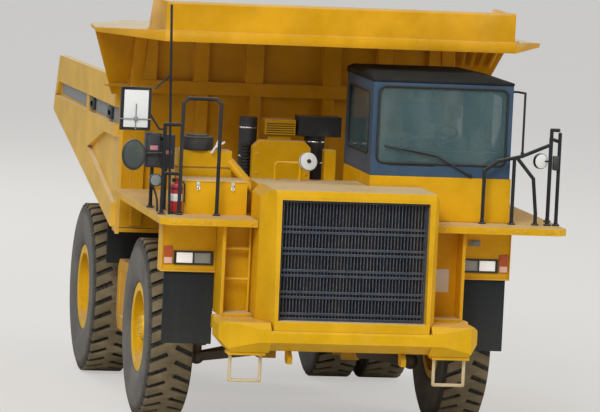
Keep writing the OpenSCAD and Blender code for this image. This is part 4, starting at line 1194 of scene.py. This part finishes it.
@dataclass
class Wheels(Assembly):
    """Nuts, clamps, hub bolts and valve stems, measured from each tyre's middle."""

    front: tuple[Piece, ...] = (
        Piece("front_wheel_nuts_{0}", IRON,
              [Copies(Bolt(0.042, 0.030), ring(0.036, 0.300, 16), OUTWARD)], "front_wheel_{0}"),
        Piece("front_rim_cleats_{0}", RUST,
              [Copies(Bolt(0.056, 0.034), ring(0.046, 0.392, 20, 0.1), OUTWARD)],
              "front_wheel_{0}"),
        Piece("front_hub_bolts_{0}", RIM_YELLOW,
              [Copies(Bolt(0.026, 0.014), ring(0.143, 0.162, 12) + ring(0.189, 0.092, 8, 0.2),
                      OUTWARD)], "front_wheel_{0}"),
        Piece("valve_front_wheel_{0}_{0}", CHROME,
              [Tube([(0.0, 0.055, 0.385), (0.0, 0.125, 0.385), (0.0, 0.165, 0.365)], 0.006)],
              "front_wheel_{0}"),
    )
    rear: tuple[Piece, ...] = (
        Piece("rear_hub_bolts_{0}", RIM_YELLOW,
              [Copies(Bolt(0.028, 0.014), ring(0.379, 0.184, 12) + ring(0.419, 0.100, 6, 0.3),
                      OUTWARD)], "rear_wheels_{0}"),
        Piece("rear_wheel_nuts_{0}", IRON,
              [Copies(Bolt(0.042, 0.030), ring(0.038, 0.345, 20), OUTWARD)], "rear_wheels_{0}"),
    )

    def build(self) -> None:
        """Builds the details of the four wheel ends."""
        for side in Side:
            for tyre, pieces in (("front_tyre", self.front), ("rear_tyres", self.rear)):
                low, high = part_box(f"{tyre}_{side.label}")
                kit = replace(self.truck, origin=tuple((low + high) / 2))
                for piece in pieces:
                    kit.make(piece.on(side))


@dataclass
class Cab(Assembly):
    """Seals, wiper, door handle and seat of the cab. The seat's heights start at its foot."""

    pieces: tuple[Piece, ...] = (
        Piece("windscreen_seal", SEAL, [Seal((1.5, 0.36, 2.87), (1.5, 1.715, 3.66))]),
        Piece("rear_window_seal", SEAL, [Seal((0.12, 0.5, 3.0), (0.12, 1.57, 3.56))]),
        Piece("inner_window_seal", SEAL, [Seal((0.28, 0.3, 2.95), (1.34, 0.3, 3.59))]),
        Piece("quarter_window_seal", SEAL, [Seal((1.31, 1.77, 3.05), (1.44, 1.77, 3.55))]),
        Piece("door_window_seal", SEAL, [Seal((0.55, 1.77, 2.99), (1.17, 1.77, 3.56))],
              "cab_door"),
        Piece("windscreen_wiper", SEAL, [
            Disc((1.508, 1.345, 2.764), 0.024, 0.026, Axis.X, 20),
            Tube([(1.515, 1.345, 2.764), (1.5345, 1.1655, 2.8605), (1.530, 0.986, 2.957)], 0.011),
            Tube([(1.530, 0.986, 2.957), (1.532, 0.72, 3.005)], 0.009),
            Tube([(1.523, 0.435, 3.045), (1.519, 0.73, 2.997), (1.523, 1.02, 2.945)], 0.010),
            Tube([(1.520, 0.56, 3.026), (1.534, 0.72, 3.005), (1.520, 0.90, 2.966)], 0.005)]),
        Piece("cab_vent", SEAL, [Block((1.494, 0.476, 2.846), (1.503, 0.970, 2.862), 0.002)]),
        Piece("door_handle", DARK_PLASTIC, [
            Block((0.52, 1.768, 2.86), (0.66, 1.778, 2.93)),
            Tube([(0.54, 1.775, 2.895), (0.54, 1.805, 2.895), (0.64, 1.805, 2.895),
                  (0.64, 1.775, 2.895)], 0.008, 0.02)], "cab_door"),
        Piece("cab_grab_bar", BLACK, [
            Tube([(0.35, 1.768, 2.85), (0.35, 1.815, 2.85), (0.35, 1.815, 3.50),
                  (0.35, 1.768, 3.50)], 0.013, 0.04)]),
    )
    seat_frame: Piece = Piece("seat_frame", DARK_PLASTIC, [
        Block((0.56, 0.96, 0.0), (0.78, 1.18, 0.16), 0.012),
        Block((0.44, 0.83, 0.155), (0.90, 1.30, 0.195), 0.01)])
    cushion: Pad = Pad((0.43, 0.815, 0.195), (0.915, 1.315, 0.30), 0.022)
    back: Pad = Pad((0.345, 0.835, 0.30), (0.465, 1.295, 0.66), 0.020)
    rest_gap: float = 0.002

    def build(self) -> None:
        """Builds the cab's details and the driver's seat."""
        super().build()
        low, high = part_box("seat")
        kit = replace(self.truck, origin=(*self.truck.origin[:2], low.z))
        kit.make(self.seat_frame)
        rest = Pad((0.355, 0.95, 0.67), (0.445, 1.18, high.z - low.z - self.rest_gap), 0.018)
        cushion = kit.make(Piece("seat_cushion", CLOTH, [self.cushion]))
        kit.make(Piece("seat_back", CLOTH, [self.back]))
        kit.make(Piece("seat_headrest", CLOTH, [rest]))
        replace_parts(cushion, "seat")


@dataclass
class Lamps(Assembly):
    """Headlamps with housings, dishes and lenses, and the lower lenses of the turn lamps.

    The well, dish and lens are measured sideways from the inner edge of each lamp.
    """

    case: tuple[Block, ...] = (Block((1.360, 1.302, 1.767), (1.470, 1.688, 1.893)),
                               Block((1.470, 1.290, 1.757), (1.488, 1.700, 1.903)))
    lamps: tuple[tuple[str, Finish, float], ...] = (("inner", LAMP_CLEAR, 1.317),
                                                    ("outer", LAMP, 1.503))
    well: Block = Block((1.408, 0.0, 1.777), (1.528, 0.170, 1.884), 0.0)
    dish: tuple[Any, ...] = (Bowl((1.466, 0.085, 1.8305)),
                             Disc((1.444, 0.085, 1.8305), 0.013, 0.036, Axis.X, 16, 0.004))
    lens: Block = Block((1.472, 0.001, 1.778), (1.484, 0.169, 1.883), 0.003)
    turn_lens: Block = Block((1.480, 1.716, 1.768), (1.4905, 1.799, 1.832))

    def build(self) -> None:
        """Builds the lamps of both sides."""
        for side in Side:
            case = [block.build(self.truck, side.value) for block in self.case]
            for row, finish, y in self.lamps:
                kit = replace(self.truck, origin=(self.truck.origin[0], side.value * y, 0.0))
                Bench.carve(case, self.well.build(kit, side.value))
                kit.make(Piece(f"{row}_reflector_{{0}}", REFLECTOR, self.dish).on(side))
                kit.make(Piece(f"{row}_lens_{{0}}", finish, [self.lens]).on(side))
            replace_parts(self.truck.fit(Bench.join(case), f"headlamp_housing_{side.label}",
                                       DARK_PLASTIC), "headlamps")
            lens = Piece("turn_lamp_lower_lens_{0}", PALE_AMBER, [self.turn_lens])
            self.truck.make(lens.on(side))


@dataclass
class Mirrors(Assembly):
    """Backs, brackets and glass of the mirrors."""

    pieces: tuple[Piece, ...] = (
        Piece("box_mirror_back", WHITE,
              [Block((1.606, -2.305, 3.160), (1.618, -2.055, 3.540), 0.012)]),
        Piece("box_mirror_glass", MIRROR_FACE,
              [Block((1.545, -2.315, 3.150), (1.553, -2.045, 3.550))]),
        Piece("box_mirror_bracket", GREY_PLASTIC, [
            Tube([(1.624, -2.18, 3.14), (1.624, -2.18, 3.40)], 0.006),
            Tube([(1.600, -2.334, 3.245), (1.628, -2.330, 3.245), (1.628, -2.03, 3.245),
                  (1.600, -2.026, 3.245)], 0.006, 0.02),
            Block((1.614, -2.20, 3.225), (1.640, -2.16, 3.265))]),
        Piece("oval_mirror_housing", DARK_PLASTIC,
              [Oval((1.5825, -2.18, 2.88), (0.1215, 0.160), 0.048, 0.014)]),
        Piece("oval_mirror_back", GREEN_PLASTIC,
              [Oval((1.608, -2.18, 2.88), (0.098, 0.134), 0.010, 0.004)]),
        Piece("oval_mirror_glass", MIRROR_FACE,
              [Oval((1.557, -2.18, 2.88), (0.106, 0.144), 0.006, 0.002)]),
    )


@dataclass
class Front(Assembly):
    """Bolts along the decks' front lips, gussets, step studs and the plates of the front end."""

    pieces: tuple[Piece, ...] = (
        Piece("deck_lip_bolts", YELLOW, [Copies(
            Bolt(0.024, 0.009),
            [(1.999, y, 2.246) for y in (-1.80, -1.74, -1.62, -1.50, -1.44, -1.18, -1.00, 1.02,
                                         1.46, 1.52, 1.76, 1.84, 2.10, 2.16)], AHEAD)]),
        Piece("bumper_gussets", YELLOW, [Block((1.70, 1.210, 1.15), (1.880, 1.325, 1.288), 0.006)],
              signs=BOTH),
        Piece("bumper_step_studs", YELLOW, [Copies(
            Disc((0.0, 0.0, 0.002), 0.008, 0.005, Axis.Z, 10, 0.0015),
            [(1.98 + j * 0.05 + i % 2 * 0.025, 0.96 + i * 0.033, 1.285)
             for i in range(9) for j in range(7)])], signs=BOTH),
        Piece("blank_plate", WHITE, [Block((1.598, 1.00, 1.560), (1.606, 1.16, 1.800), 0.003)]),
        Piece("socket_box", GREY_PLASTIC, [
            Block((1.468, 1.38, 2.035), (1.492, 1.50, 2.095)),
            Block((1.488, 1.415, 2.045), (1.500, 1.465, 2.085), 0.003)]),
    )


@dataclass
class DeckGear(Assembly):
    """Box lids, switch box, cleaner intake, work lamps and extinguisher fittings."""

    pieces: tuple[Piece, ...] = (
        Piece("battery_box_lid", YELLOW, [Block((0.992, -1.628, 2.612), (1.488, -0.962, 2.624))]),
        Piece("battery_box_latches", CHROME, [shape for y in (-1.48, -1.12) for shape in (
            Block((1.478, y - 0.018, 2.545), (1.492, y + 0.018, 2.612), 0.003),
            Tube([(1.490, y - 0.012, 2.560), (1.500, y - 0.012, 2.530),
                  (1.500, y + 0.012, 2.530), (1.490, y + 0.012, 2.560)], 0.003, 0.006, 3))]),
        Piece("rail_switch_box", DARK_PLASTIC, [
            Block((1.425, -2.052, 2.750), (1.548, -1.893, 3.100), 0.012),
            Block((1.546, -2.040, 2.765), (1.560, -1.905, 3.085), 0.006),
            Disc((1.556, -2.044, 2.82), 0.008, 0.05, Axis.Z, 12),
            Disc((1.556, -2.044, 3.03), 0.008, 0.05, Axis.Z, 12),
            Block((1.559, -1.928, 2.90), (1.572, -1.912, 2.95), 0.003),
            Block((1.46, -1.90, 3.02), (1.50, -1.852, 3.05))]),
        Piece("rail_box_patch", PINK,
              [Block((1.558, -2.010, 2.930), (1.563, -1.930, 2.975), 0.001)]),
        Piece("rail_box_lead", SEAL, [
            Tube([(1.48, -1.97, 2.752), (1.48, -1.97, 2.60), (1.52, -1.91, 2.45),
                  (1.55, -1.905, 2.30)], 0.011, 0.06)]),
        Piece("relay_box_plate", replace(PINK, slot="red_paint"),
              [Block((1.199, -1.80, 2.86), (1.204, -1.725, 2.90), 0.001)]),
        Piece("air_cleaner_cap", DARK_PLASTIC, [
            *(Disc((0.830, -1.400, 2.915 + i * 0.022), 0.173, 0.008, Axis.Z, 40, 0.002)
              for i in range(5)),
            Disc((0.830, -1.400, 3.022), 0.176, 0.016, Axis.Z, 40, 0.006)]),
        Piece("cleaner_lever", WHITE, [
            Tube([(1.02, -1.24, 2.93), (1.02, y, z)], radius)
            for y, z, radius in ((-1.14, 2.99, 0.012), (-1.20, 3.02, 0.010),
                                 (-1.28, 2.87, 0.012))]),
        Piece("right_work_lamp", DARK_PLASTIC, [
            Disc((1.53, -1.935, 2.624), 0.062, 0.07, Axis.X, 28, 0.012),
            Disc((1.568, -1.935, 2.624), 0.066, 0.014, Axis.X, 28),
            Tube([(1.60, -1.875, 2.58), (1.535, -1.915, 2.60)], 0.012)]),
        Piece("right_work_lamp_lens", LAMP_CLEAR,
              [Disc((1.575, -1.935, 2.624), 0.056, 0.006, Axis.X, 28, 0.002)]),
        Piece("left_rail_lamp", DARK_PLASTIC,
              [Block((1.575, 2.195, 2.855), (1.640, 2.255, 3.005), 0.012)]),
    )

    def build(self) -> None:
        """Builds what stands on the decks, and the extinguisher's parts from its foot."""
        super().build()
        low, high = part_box("extinguisher")
        middle, top = (low + high) / 2, high.z - low.z
        kit = replace(self.truck, origin=(middle.x, middle.y, low.z))
        kit.make(Piece("extinguisher_band", WHITE,
                       [Disc((0.0, 0.0, 0.17), 0.0635, 0.075, Axis.Z, 40, 0.002)]))
        kit.make(Piece("extinguisher_fittings", SEAL, [
            Block((-0.018, -0.05, top - 0.035), (0.018, 0.03, top - 0.012)),
            Block((-0.010, -0.055, top - 0.010), (0.010, 0.020, top + 0.001), 0.002),
            Tube([(0.010, 0.03, top - 0.024), (0.030, 0.075, top - 0.04), (0.030, 0.078, 0.12)],
                 0.008, 0.03),
            Disc((0.0, 0.0, 0.26), 0.0645, 0.018, Axis.Z, 40, 0.002),
            Disc((0.0, 0.0, 0.012), 0.067, 0.022, Axis.Z, 40, 0.002)]))


@dataclass
class EngineBay(Assembly):
    """Intake hose, louvres, pipe clamps and bolts behind the hood."""

    pieces: tuple[Piece, ...] = (
        Piece("intake_hose", SEAL, [
            *(Disc((-0.16, -0.70, 2.36 + i * 0.034), 0.060 + 0.004 * (i % 2), 0.024, Axis.Z, 20,
                   0.006) for i in range(16)),
            Disc((-0.16, -0.70, 2.61), 0.050, 0.56, Axis.Z, 20, 0.0)]),
        Piece("bay_louvres", SEAL, [
            Block((-0.184, -0.485, 3.005 + i * 0.024), (-0.174, -0.185, 3.013 + i * 0.024), 0.002)
            for i in range(5)]),
        Piece("pipe_clamps", CHROME, [
            Disc((-0.3, y, z), radius, 0.016, Axis.Z, 32, 0.002)
            for y, radius, heights in ((-0.66, 0.0965, (2.40, 2.75, 3.05)),
                                       (0.06, 0.1115, (2.40, 2.70, 2.92))) for z in heights]),
        Piece("bulkhead_bolts", YELLOW, [Copies(
            Bolt(0.024, 0.010), [(0.06, y, z) for y in (-0.62, -0.09) for z in (2.40, 2.60, 2.80)],
            AHEAD)]),
    )


def bead(start: Point, end: Point, radius: float = 0.006) -> Tube:
    """A straight weld bead."""
    return Tube([start, end], radius, sides=1)


@dataclass
class Body(Assembly):
    """Grey channel panels with dust and painted shade, the devices in them and weld seams of the
    dump body.
    """

    pieces: tuple[Piece, ...] = (
        # Grey sheets at the back of the side channels: dust and painted shade.
        Piece("channel_panels", GREY_PLASTIC,
              [Block((-5.55, 1.851, 2.955), (-1.47, 1.856, 3.105), 0.001)], "dump_body", BOTH),
        Piece("channel_devices", DARK_PLASTIC, [shape for x in (-3.30, -2.05) for shape in (
            Block((x, 1.858, 2.965), (x + 0.26, 1.889, 3.095), 0.008),
            Block((x + 0.05, 1.858, 3.0), (x + 0.21, 1.889, 3.06)))], "dump_body", BOTH),
        Piece("body_weld_beads", YELLOW_BODY, [
            *(bead((-1.398, -1.80, z), (-1.398, 1.80, z), 0.007) for z in (3.300, 3.440)),
            *(bead((-1.398, sign * part * 1.81, 3.445), (-1.398, sign * part * 1.81, 3.885))
              for sign in BOTH for part in (0.18, 0.29, 0.51, 0.60, 0.82)),
            *(bead((-5.5, sign * 1.853, 3.108), (-1.47, sign * 1.853, 3.128)) for sign in BOTH),
            bead((1.182, -1.82, 4.131), (1.182, 1.82, 4.131))], "dump_body"),
    )


def level(z: float, *corners: tuple[float, float]) -> tuple[Point, ...]:
    """Corners at one height."""
    return tuple((x, y, z) for x, y in corners)


@dataclass
class Canopy(Assembly):
    """Canopy whose raised edge thins out to the wing tips, with the panelled ears below it."""

    space: Block = Block((-1.6, -2.6, 3.0), (0.15, 2.6, 4.0202), 0.0)
    edge: tuple[Point, ...] = ((-0.02, 2.28, 4.064), (-0.02, 2.42, 4.064), (1.12, 1.90, 4.127),
                               (1.12, 1.836, 4.127))
    edge_top: float = 4.20
    ear: Wedge = Wedge(
        level(3.28, (-1.40, 1.66), (-1.24, 1.985), (-1.44, 1.895), (-1.44, 1.66)),
        level(4.03, (-1.33, 1.60), (-0.84, 2.27), (-1.44, 1.895), (-1.44, 1.60)), 0.008)
    strip: Wedge = Wedge(
        level(3.30, (-1.325, 1.655), (-1.285, 1.765), (-1.37, 1.80), (-1.39, 1.655)),
        level(4.03, (-1.275, 1.60), (-1.20, 1.74), (-1.32, 1.79), (-1.38, 1.60)))
    lip: Wedge = Wedge(
        level(3.365, (-1.32, 1.74), (-1.165, 2.035), (-1.24, 2.06), (-1.40, 1.76)),
        level(3.395, (-1.31, 1.74), (-1.155, 2.045), (-1.24, 2.07), (-1.40, 1.76)), 0.004)
    wing: tuple[tuple[float, float], ...] = ((-1.44, 1.84), (-0.83, 2.30), (-0.01, 2.372),
                                             (-0.30, 1.95))
    wing_z: tuple[float, float] = (4.022, 4.058)
    rib_places: tuple[float, ...] = (0.40, 0.56, 0.72, 0.88)
    rib_foot: float = 0.58
    rib_half: float = 0.018
    rib_proud: float = 2.2
    round_by: float = 0.010

    def cut(self) -> Any:
        """Copies the canopy's solid, thins its wings and clears the space of the ears.

        Returns:
            The new object.
        """
        copy = Bench.twin(self.truck.frame["nodes"]["canopy"])
        Bench.apply(copy, "WELD", merge_threshold=MERGE)
        top = level(self.edge_top, *(corner[:2] for corner in self.edge))
        Bench.carve([copy], self.space.build(self.truck))
        for sign in BOTH:
            Bench.carve([copy], Wedge(self.edge, top, 0.0).build(self.truck, sign))
        Bench.apply(copy, "DECIMATE", decimate_type="DISSOLVE", angle_limit=FLAT)
        Bench.apply(copy, "BEVEL", width=self.round_by, segments=2, limit_method="ANGLE",
                    angle_limit=SHARP, harden_normals=True)
        return Bench.smooth(copy, angle=40.0)

    def rib(self, place: float) -> Wedge:
        """Shapes a short rib at the top of an ear's front face.

        Args:
            place: How far it stands along the face, from 0 at the middle to 1 outside.

        Returns:
            The rib.
        """
        rings = []
        for height in (self.rib_foot, 1.0):
            inner, outer = (Vector(self.ear.below[i]).lerp(Vector(self.ear.above[i]), height)
                            for i in (0, 1))
            along = (outer - inner).normalized() * self.rib_half
            proud = Vector((along.y, -along.x, 0.0)) * self.rib_proud
            middle = inner.lerp(outer, place)
            rings.append([middle - along - proud, middle - along + proud,
                          middle + along + proud, middle + along - proud])
        return Wedge(rings[0], rings[1], 0.003)

    def build(self) -> None:
        """Builds the canopy, with ribs on the left ear only."""
        parts = [self.cut()]
        wing = Wedge(level(self.wing_z[0], *self.wing), level(self.wing_z[1], *self.wing), 0.004)
        for sign in BOTH:
            shapes = [self.ear, self.strip, self.lip, wing]
            if sign == Side.LEFT.value:
                shapes += [self.rib(place) for place in self.rib_places]
            parts += [shape.build(self.truck, sign) for shape in shapes]
        shell = self.truck.fit(Bench.join(parts), "canopy_shell", YELLOW_BODY, "dump_body")
        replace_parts(shell, "canopy")


# Place of each rail post's foot on the decks, as x and y.
POSTS = ((1.60, 1.48), (1.60, 1.79), (1.60, 2.17), (1.60, 2.26), (1.22, 2.26), (1.60, 2.04),
         (1.60, -1.69), (1.60, -1.30), (1.60, -1.87), (0.90, -1.87))


@dataclass
class Fittings(Assembly):
    """Feet of the rails' posts, hung steps, lamp panel lips, mirror backs and frame pipes."""

    pieces: tuple[Piece, ...] = (
        Piece("post_feet", BLACK, [
            Disc((x, y, z), radius, depth, Axis.Z, 20, round_by)
            for z, radius, depth, round_by in ((2.287, 0.040, 0.012, 0.003),
                                               (2.31, 0.022, 0.03, 0.004)) for x, y in POSTS]),
        Piece("post_foot_bolts", IRON, [Copies(Bolt(0.011, 0.006), [
            (x + dx, y + dy, 2.292) for x, y in POSTS
            for dx, dy in ((0.029, 0.0), (-0.029, 0.0), (0.0, 0.029), (0.0, -0.029))])]),
        Piece("hung_step_sleeves", CREAM, [
            Tube([(2.26, 0.90, 0.979), (2.26, 0.90, 0.68), (2.26, 1.212, 0.68),
                  (2.26, 1.212, 0.979)], 0.0172, 0.006, 2),
            *(Block((x - 0.008, 0.92, 0.672), (x + 0.008, 1.192, 0.694), 0.003)
              for x in (2.232, 2.288))], signs=BOTH),
        Piece("lamp_panel_lips", YELLOW, [
            Block((1.466, 1.266, 1.686), (1.496, 1.829, 1.700)),
            *(Block((1.466, y, 1.694), (1.484, y + 0.012, 2.205)) for y in (1.266, 1.817))],
              signs=BOTH),
        Piece("step_boxes", YELLOW, [Block((2.150, 0.862, 0.944), (2.345, 1.250, 0.985), 0.008)],
              signs=BOTH),
        Piece("hood_mirror_back", WHITE, [Copies(
            Disc((0.0, 0.0, 0.017), 0.1002, 0.038, Axis.Z, 40, 0.012), [(1.10, -0.28, 2.82)],
            ((75.0, "Y"), (-12.0, "X")))]),
        Piece("hood_mirror_knob", SEAL, [Copies(
            Disc((0.0, 0.0, 0.038), 0.022, 0.02, Axis.Z, 20, 0.004), [(1.10, -0.28, 2.82)],
            ((75.0, "Y"), (-12.0, "X")))]),
        Piece("left_mirror_back", WHITE, [Copies(
            Disc((0.0, 0.0, 0.037), 0.074, 0.012, Axis.Z, 32, 0.004), [(1.58, 2.06, 2.945)],
            ((20.0, "Z"), (90.0, "Y")))]),
        Piece("frame_lines", SEAL, [Tube([(-2.0, 0.515, z), (1.9, 0.515, z)], 0.012, sides=2)
                                    for z in (1.30, 1.25)], signs=BOTH),
        Piece("line_clips", IRON, [
            Block((x - 0.02, 0.500, 1.225), (x + 0.02, 0.532, 1.325))
            for x in (-1.6, -0.8, 0.35, 0.9, 1.5)], signs=BOTH),
    )


@dataclass
class Studio(Assembly):
    """Camera, lights and floor, with the lamps' places measured in the frame."""

    camera_place: Point = (56.62, -11.28, 7.52)
    camera_turn: Point = (11.15, 5.21, -2.76)
    focal_px: float = 5505.0
    picture_w: float = 600.0
    sensor: float = 36.0
    far: float = 400.0
    floor_half: float = 170.0
    floor_pale: float = 0.55
    sky: float = 0.32
    lamps: tuple[tuple[str, Point, Point, float, float], ...] = (
        ("key_lamp", (26.0, -14.0, 22.0), (1.0, 0.0, 1.5), 14.0, 6500.0),
        ("fill_lamp", (10.0, 24.0, 14.0), (0.0, 0.0, 1.5), 12.0, 2275.0),
        ("back_lamp", (-24.0, -6.0, 18.0), (-2.0, 0.0, 2.0), 12.0, 2275.0),
    )

    def camera(self) -> None:
        """Sets the camera at the photographed viewing angle."""
        turn, tip, roll = (math.radians(angle) for angle in self.camera_turn)
        back = Vector((math.cos(turn) * math.cos(tip), -math.sin(turn) * math.cos(tip),
                       math.sin(tip)))
        right = (-back).cross(Vector((0.0, 0.0, 1.0))).normalized()
        down = (-back).cross(right)
        across = right * math.cos(roll) + down * math.sin(roll)
        below = down * math.cos(roll) - right * math.sin(roll)
        turned = Matrix((across, -below, back)).transposed().to_4x4()
        bpy.ops.object.camera_add()
        camera = bpy.context.object
        camera.name = "studio_camera"
        camera.matrix_world = Matrix.Translation(self.truck.at(self.camera_place)) @ turned
        camera.data.sensor_width = self.sensor
        camera.data.lens = self.focal_px * self.sensor / self.picture_w
        camera.data.clip_end = self.far
        bpy.context.scene.camera = camera

    def light(self, name: str, place: Point, aim: Point, size: float, power: float) -> None:
        """Adds one large soft lamp.

        Args:
            name: The lamp's name.
            place: Where it hangs.
            aim: Where it points.
            size: Its width.
            power: Its power in watts.
        """
        Bench.clear()
        bpy.ops.object.light_add(type="AREA", location=place)
        lamp = bpy.context.object
        lamp.name = name
        lamp.data.energy = power
        lamp.data.size = size
        lamp.rotation_euler = (Vector(aim) - Vector(place)).to_track_quat("-Z", "Y").to_euler()

    def backdrop(self) -> Any:
        """Builds the floor's material, which the camera sees as a pale plain ground.

        Returns:
            The material.
        """
        g = Graph(bpy.data.materials.new("studio_floor"))
        tint = g.mix(g.noise(0.8, 3.0) * 0.25, (0.74, 0.72, 0.68), (0.66, 0.64, 0.60))
        ground = g.add("ShaderNodeBsdfPrincipled", links={"Base Color": tint, "Roughness": 0.9})
        pale = g.add("ShaderNodeEmission", links={"Color": (0.84, 0.83, 0.81, 1.0)})
        seen = g.add("ShaderNodeLightPath", out="Is Camera Ray") * self.floor_pale
        return g.close(g.add("ShaderNodeMixShader", links={0: seen, 1: ground, 2: pale}))

    def world(self) -> Any:
        """Builds a soft sky that the camera sees as a pale backdrop.

        Returns:
            The world.
        """
        g = Graph(bpy.data.worlds.new("studio_sky"))
        light = g.add("ShaderNodeBackground",
                      links={"Color": (0.93, 0.96, 1.0, 1.0), "Strength": self.sky})
        seen = g.add("ShaderNodeBackground",
                     links={"Color": (0.86, 0.86, 0.85, 1.0), "Strength": 1.0})
        camera, glossy, through = (g.add("ShaderNodeLightPath", out=f"Is {ray} Ray")
                                   for ray in ("Camera", "Glossy", "Transmission"))
        shown = camera.most(glossy).most(through)
        return g.close(g.add("ShaderNodeMixShader", links={0: shown, 1: light, 2: seen}))

    def build(self) -> None:
        """Builds the studio."""
        self.camera()
        bpy.context.scene.world = self.world()
        for lamp in self.lamps:
            self.light(*lamp)
        floor = Bench.solid(bpy.ops.mesh.primitive_plane_add, size=self.floor_half * 2)
        floor.name = "studio_floor"
        floor.data.materials.append(self.backdrop())
        bpy.context.scene.view_settings.view_transform = "Standard"


def main() -> None:
    """Builds the truck's looks in order."""
    logging.basicConfig(level=logging.INFO, format="%(name)s: %(message)s")
    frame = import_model()
    low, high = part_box("front_tyre_left")
    truck = Truck(frame, ((low.x + high.x) / 2, 0.0, 0.0))
    for assembly in (Studio, Solids, Wheels, Cab, Lamps, Mirrors, Front, DeckGear, EngineBay,
                     Body, Canopy, Fittings):
        assembly(truck).build()
        LOG.info("%s built", assembly.__name__)


if __name__ == "__main__":
    main()
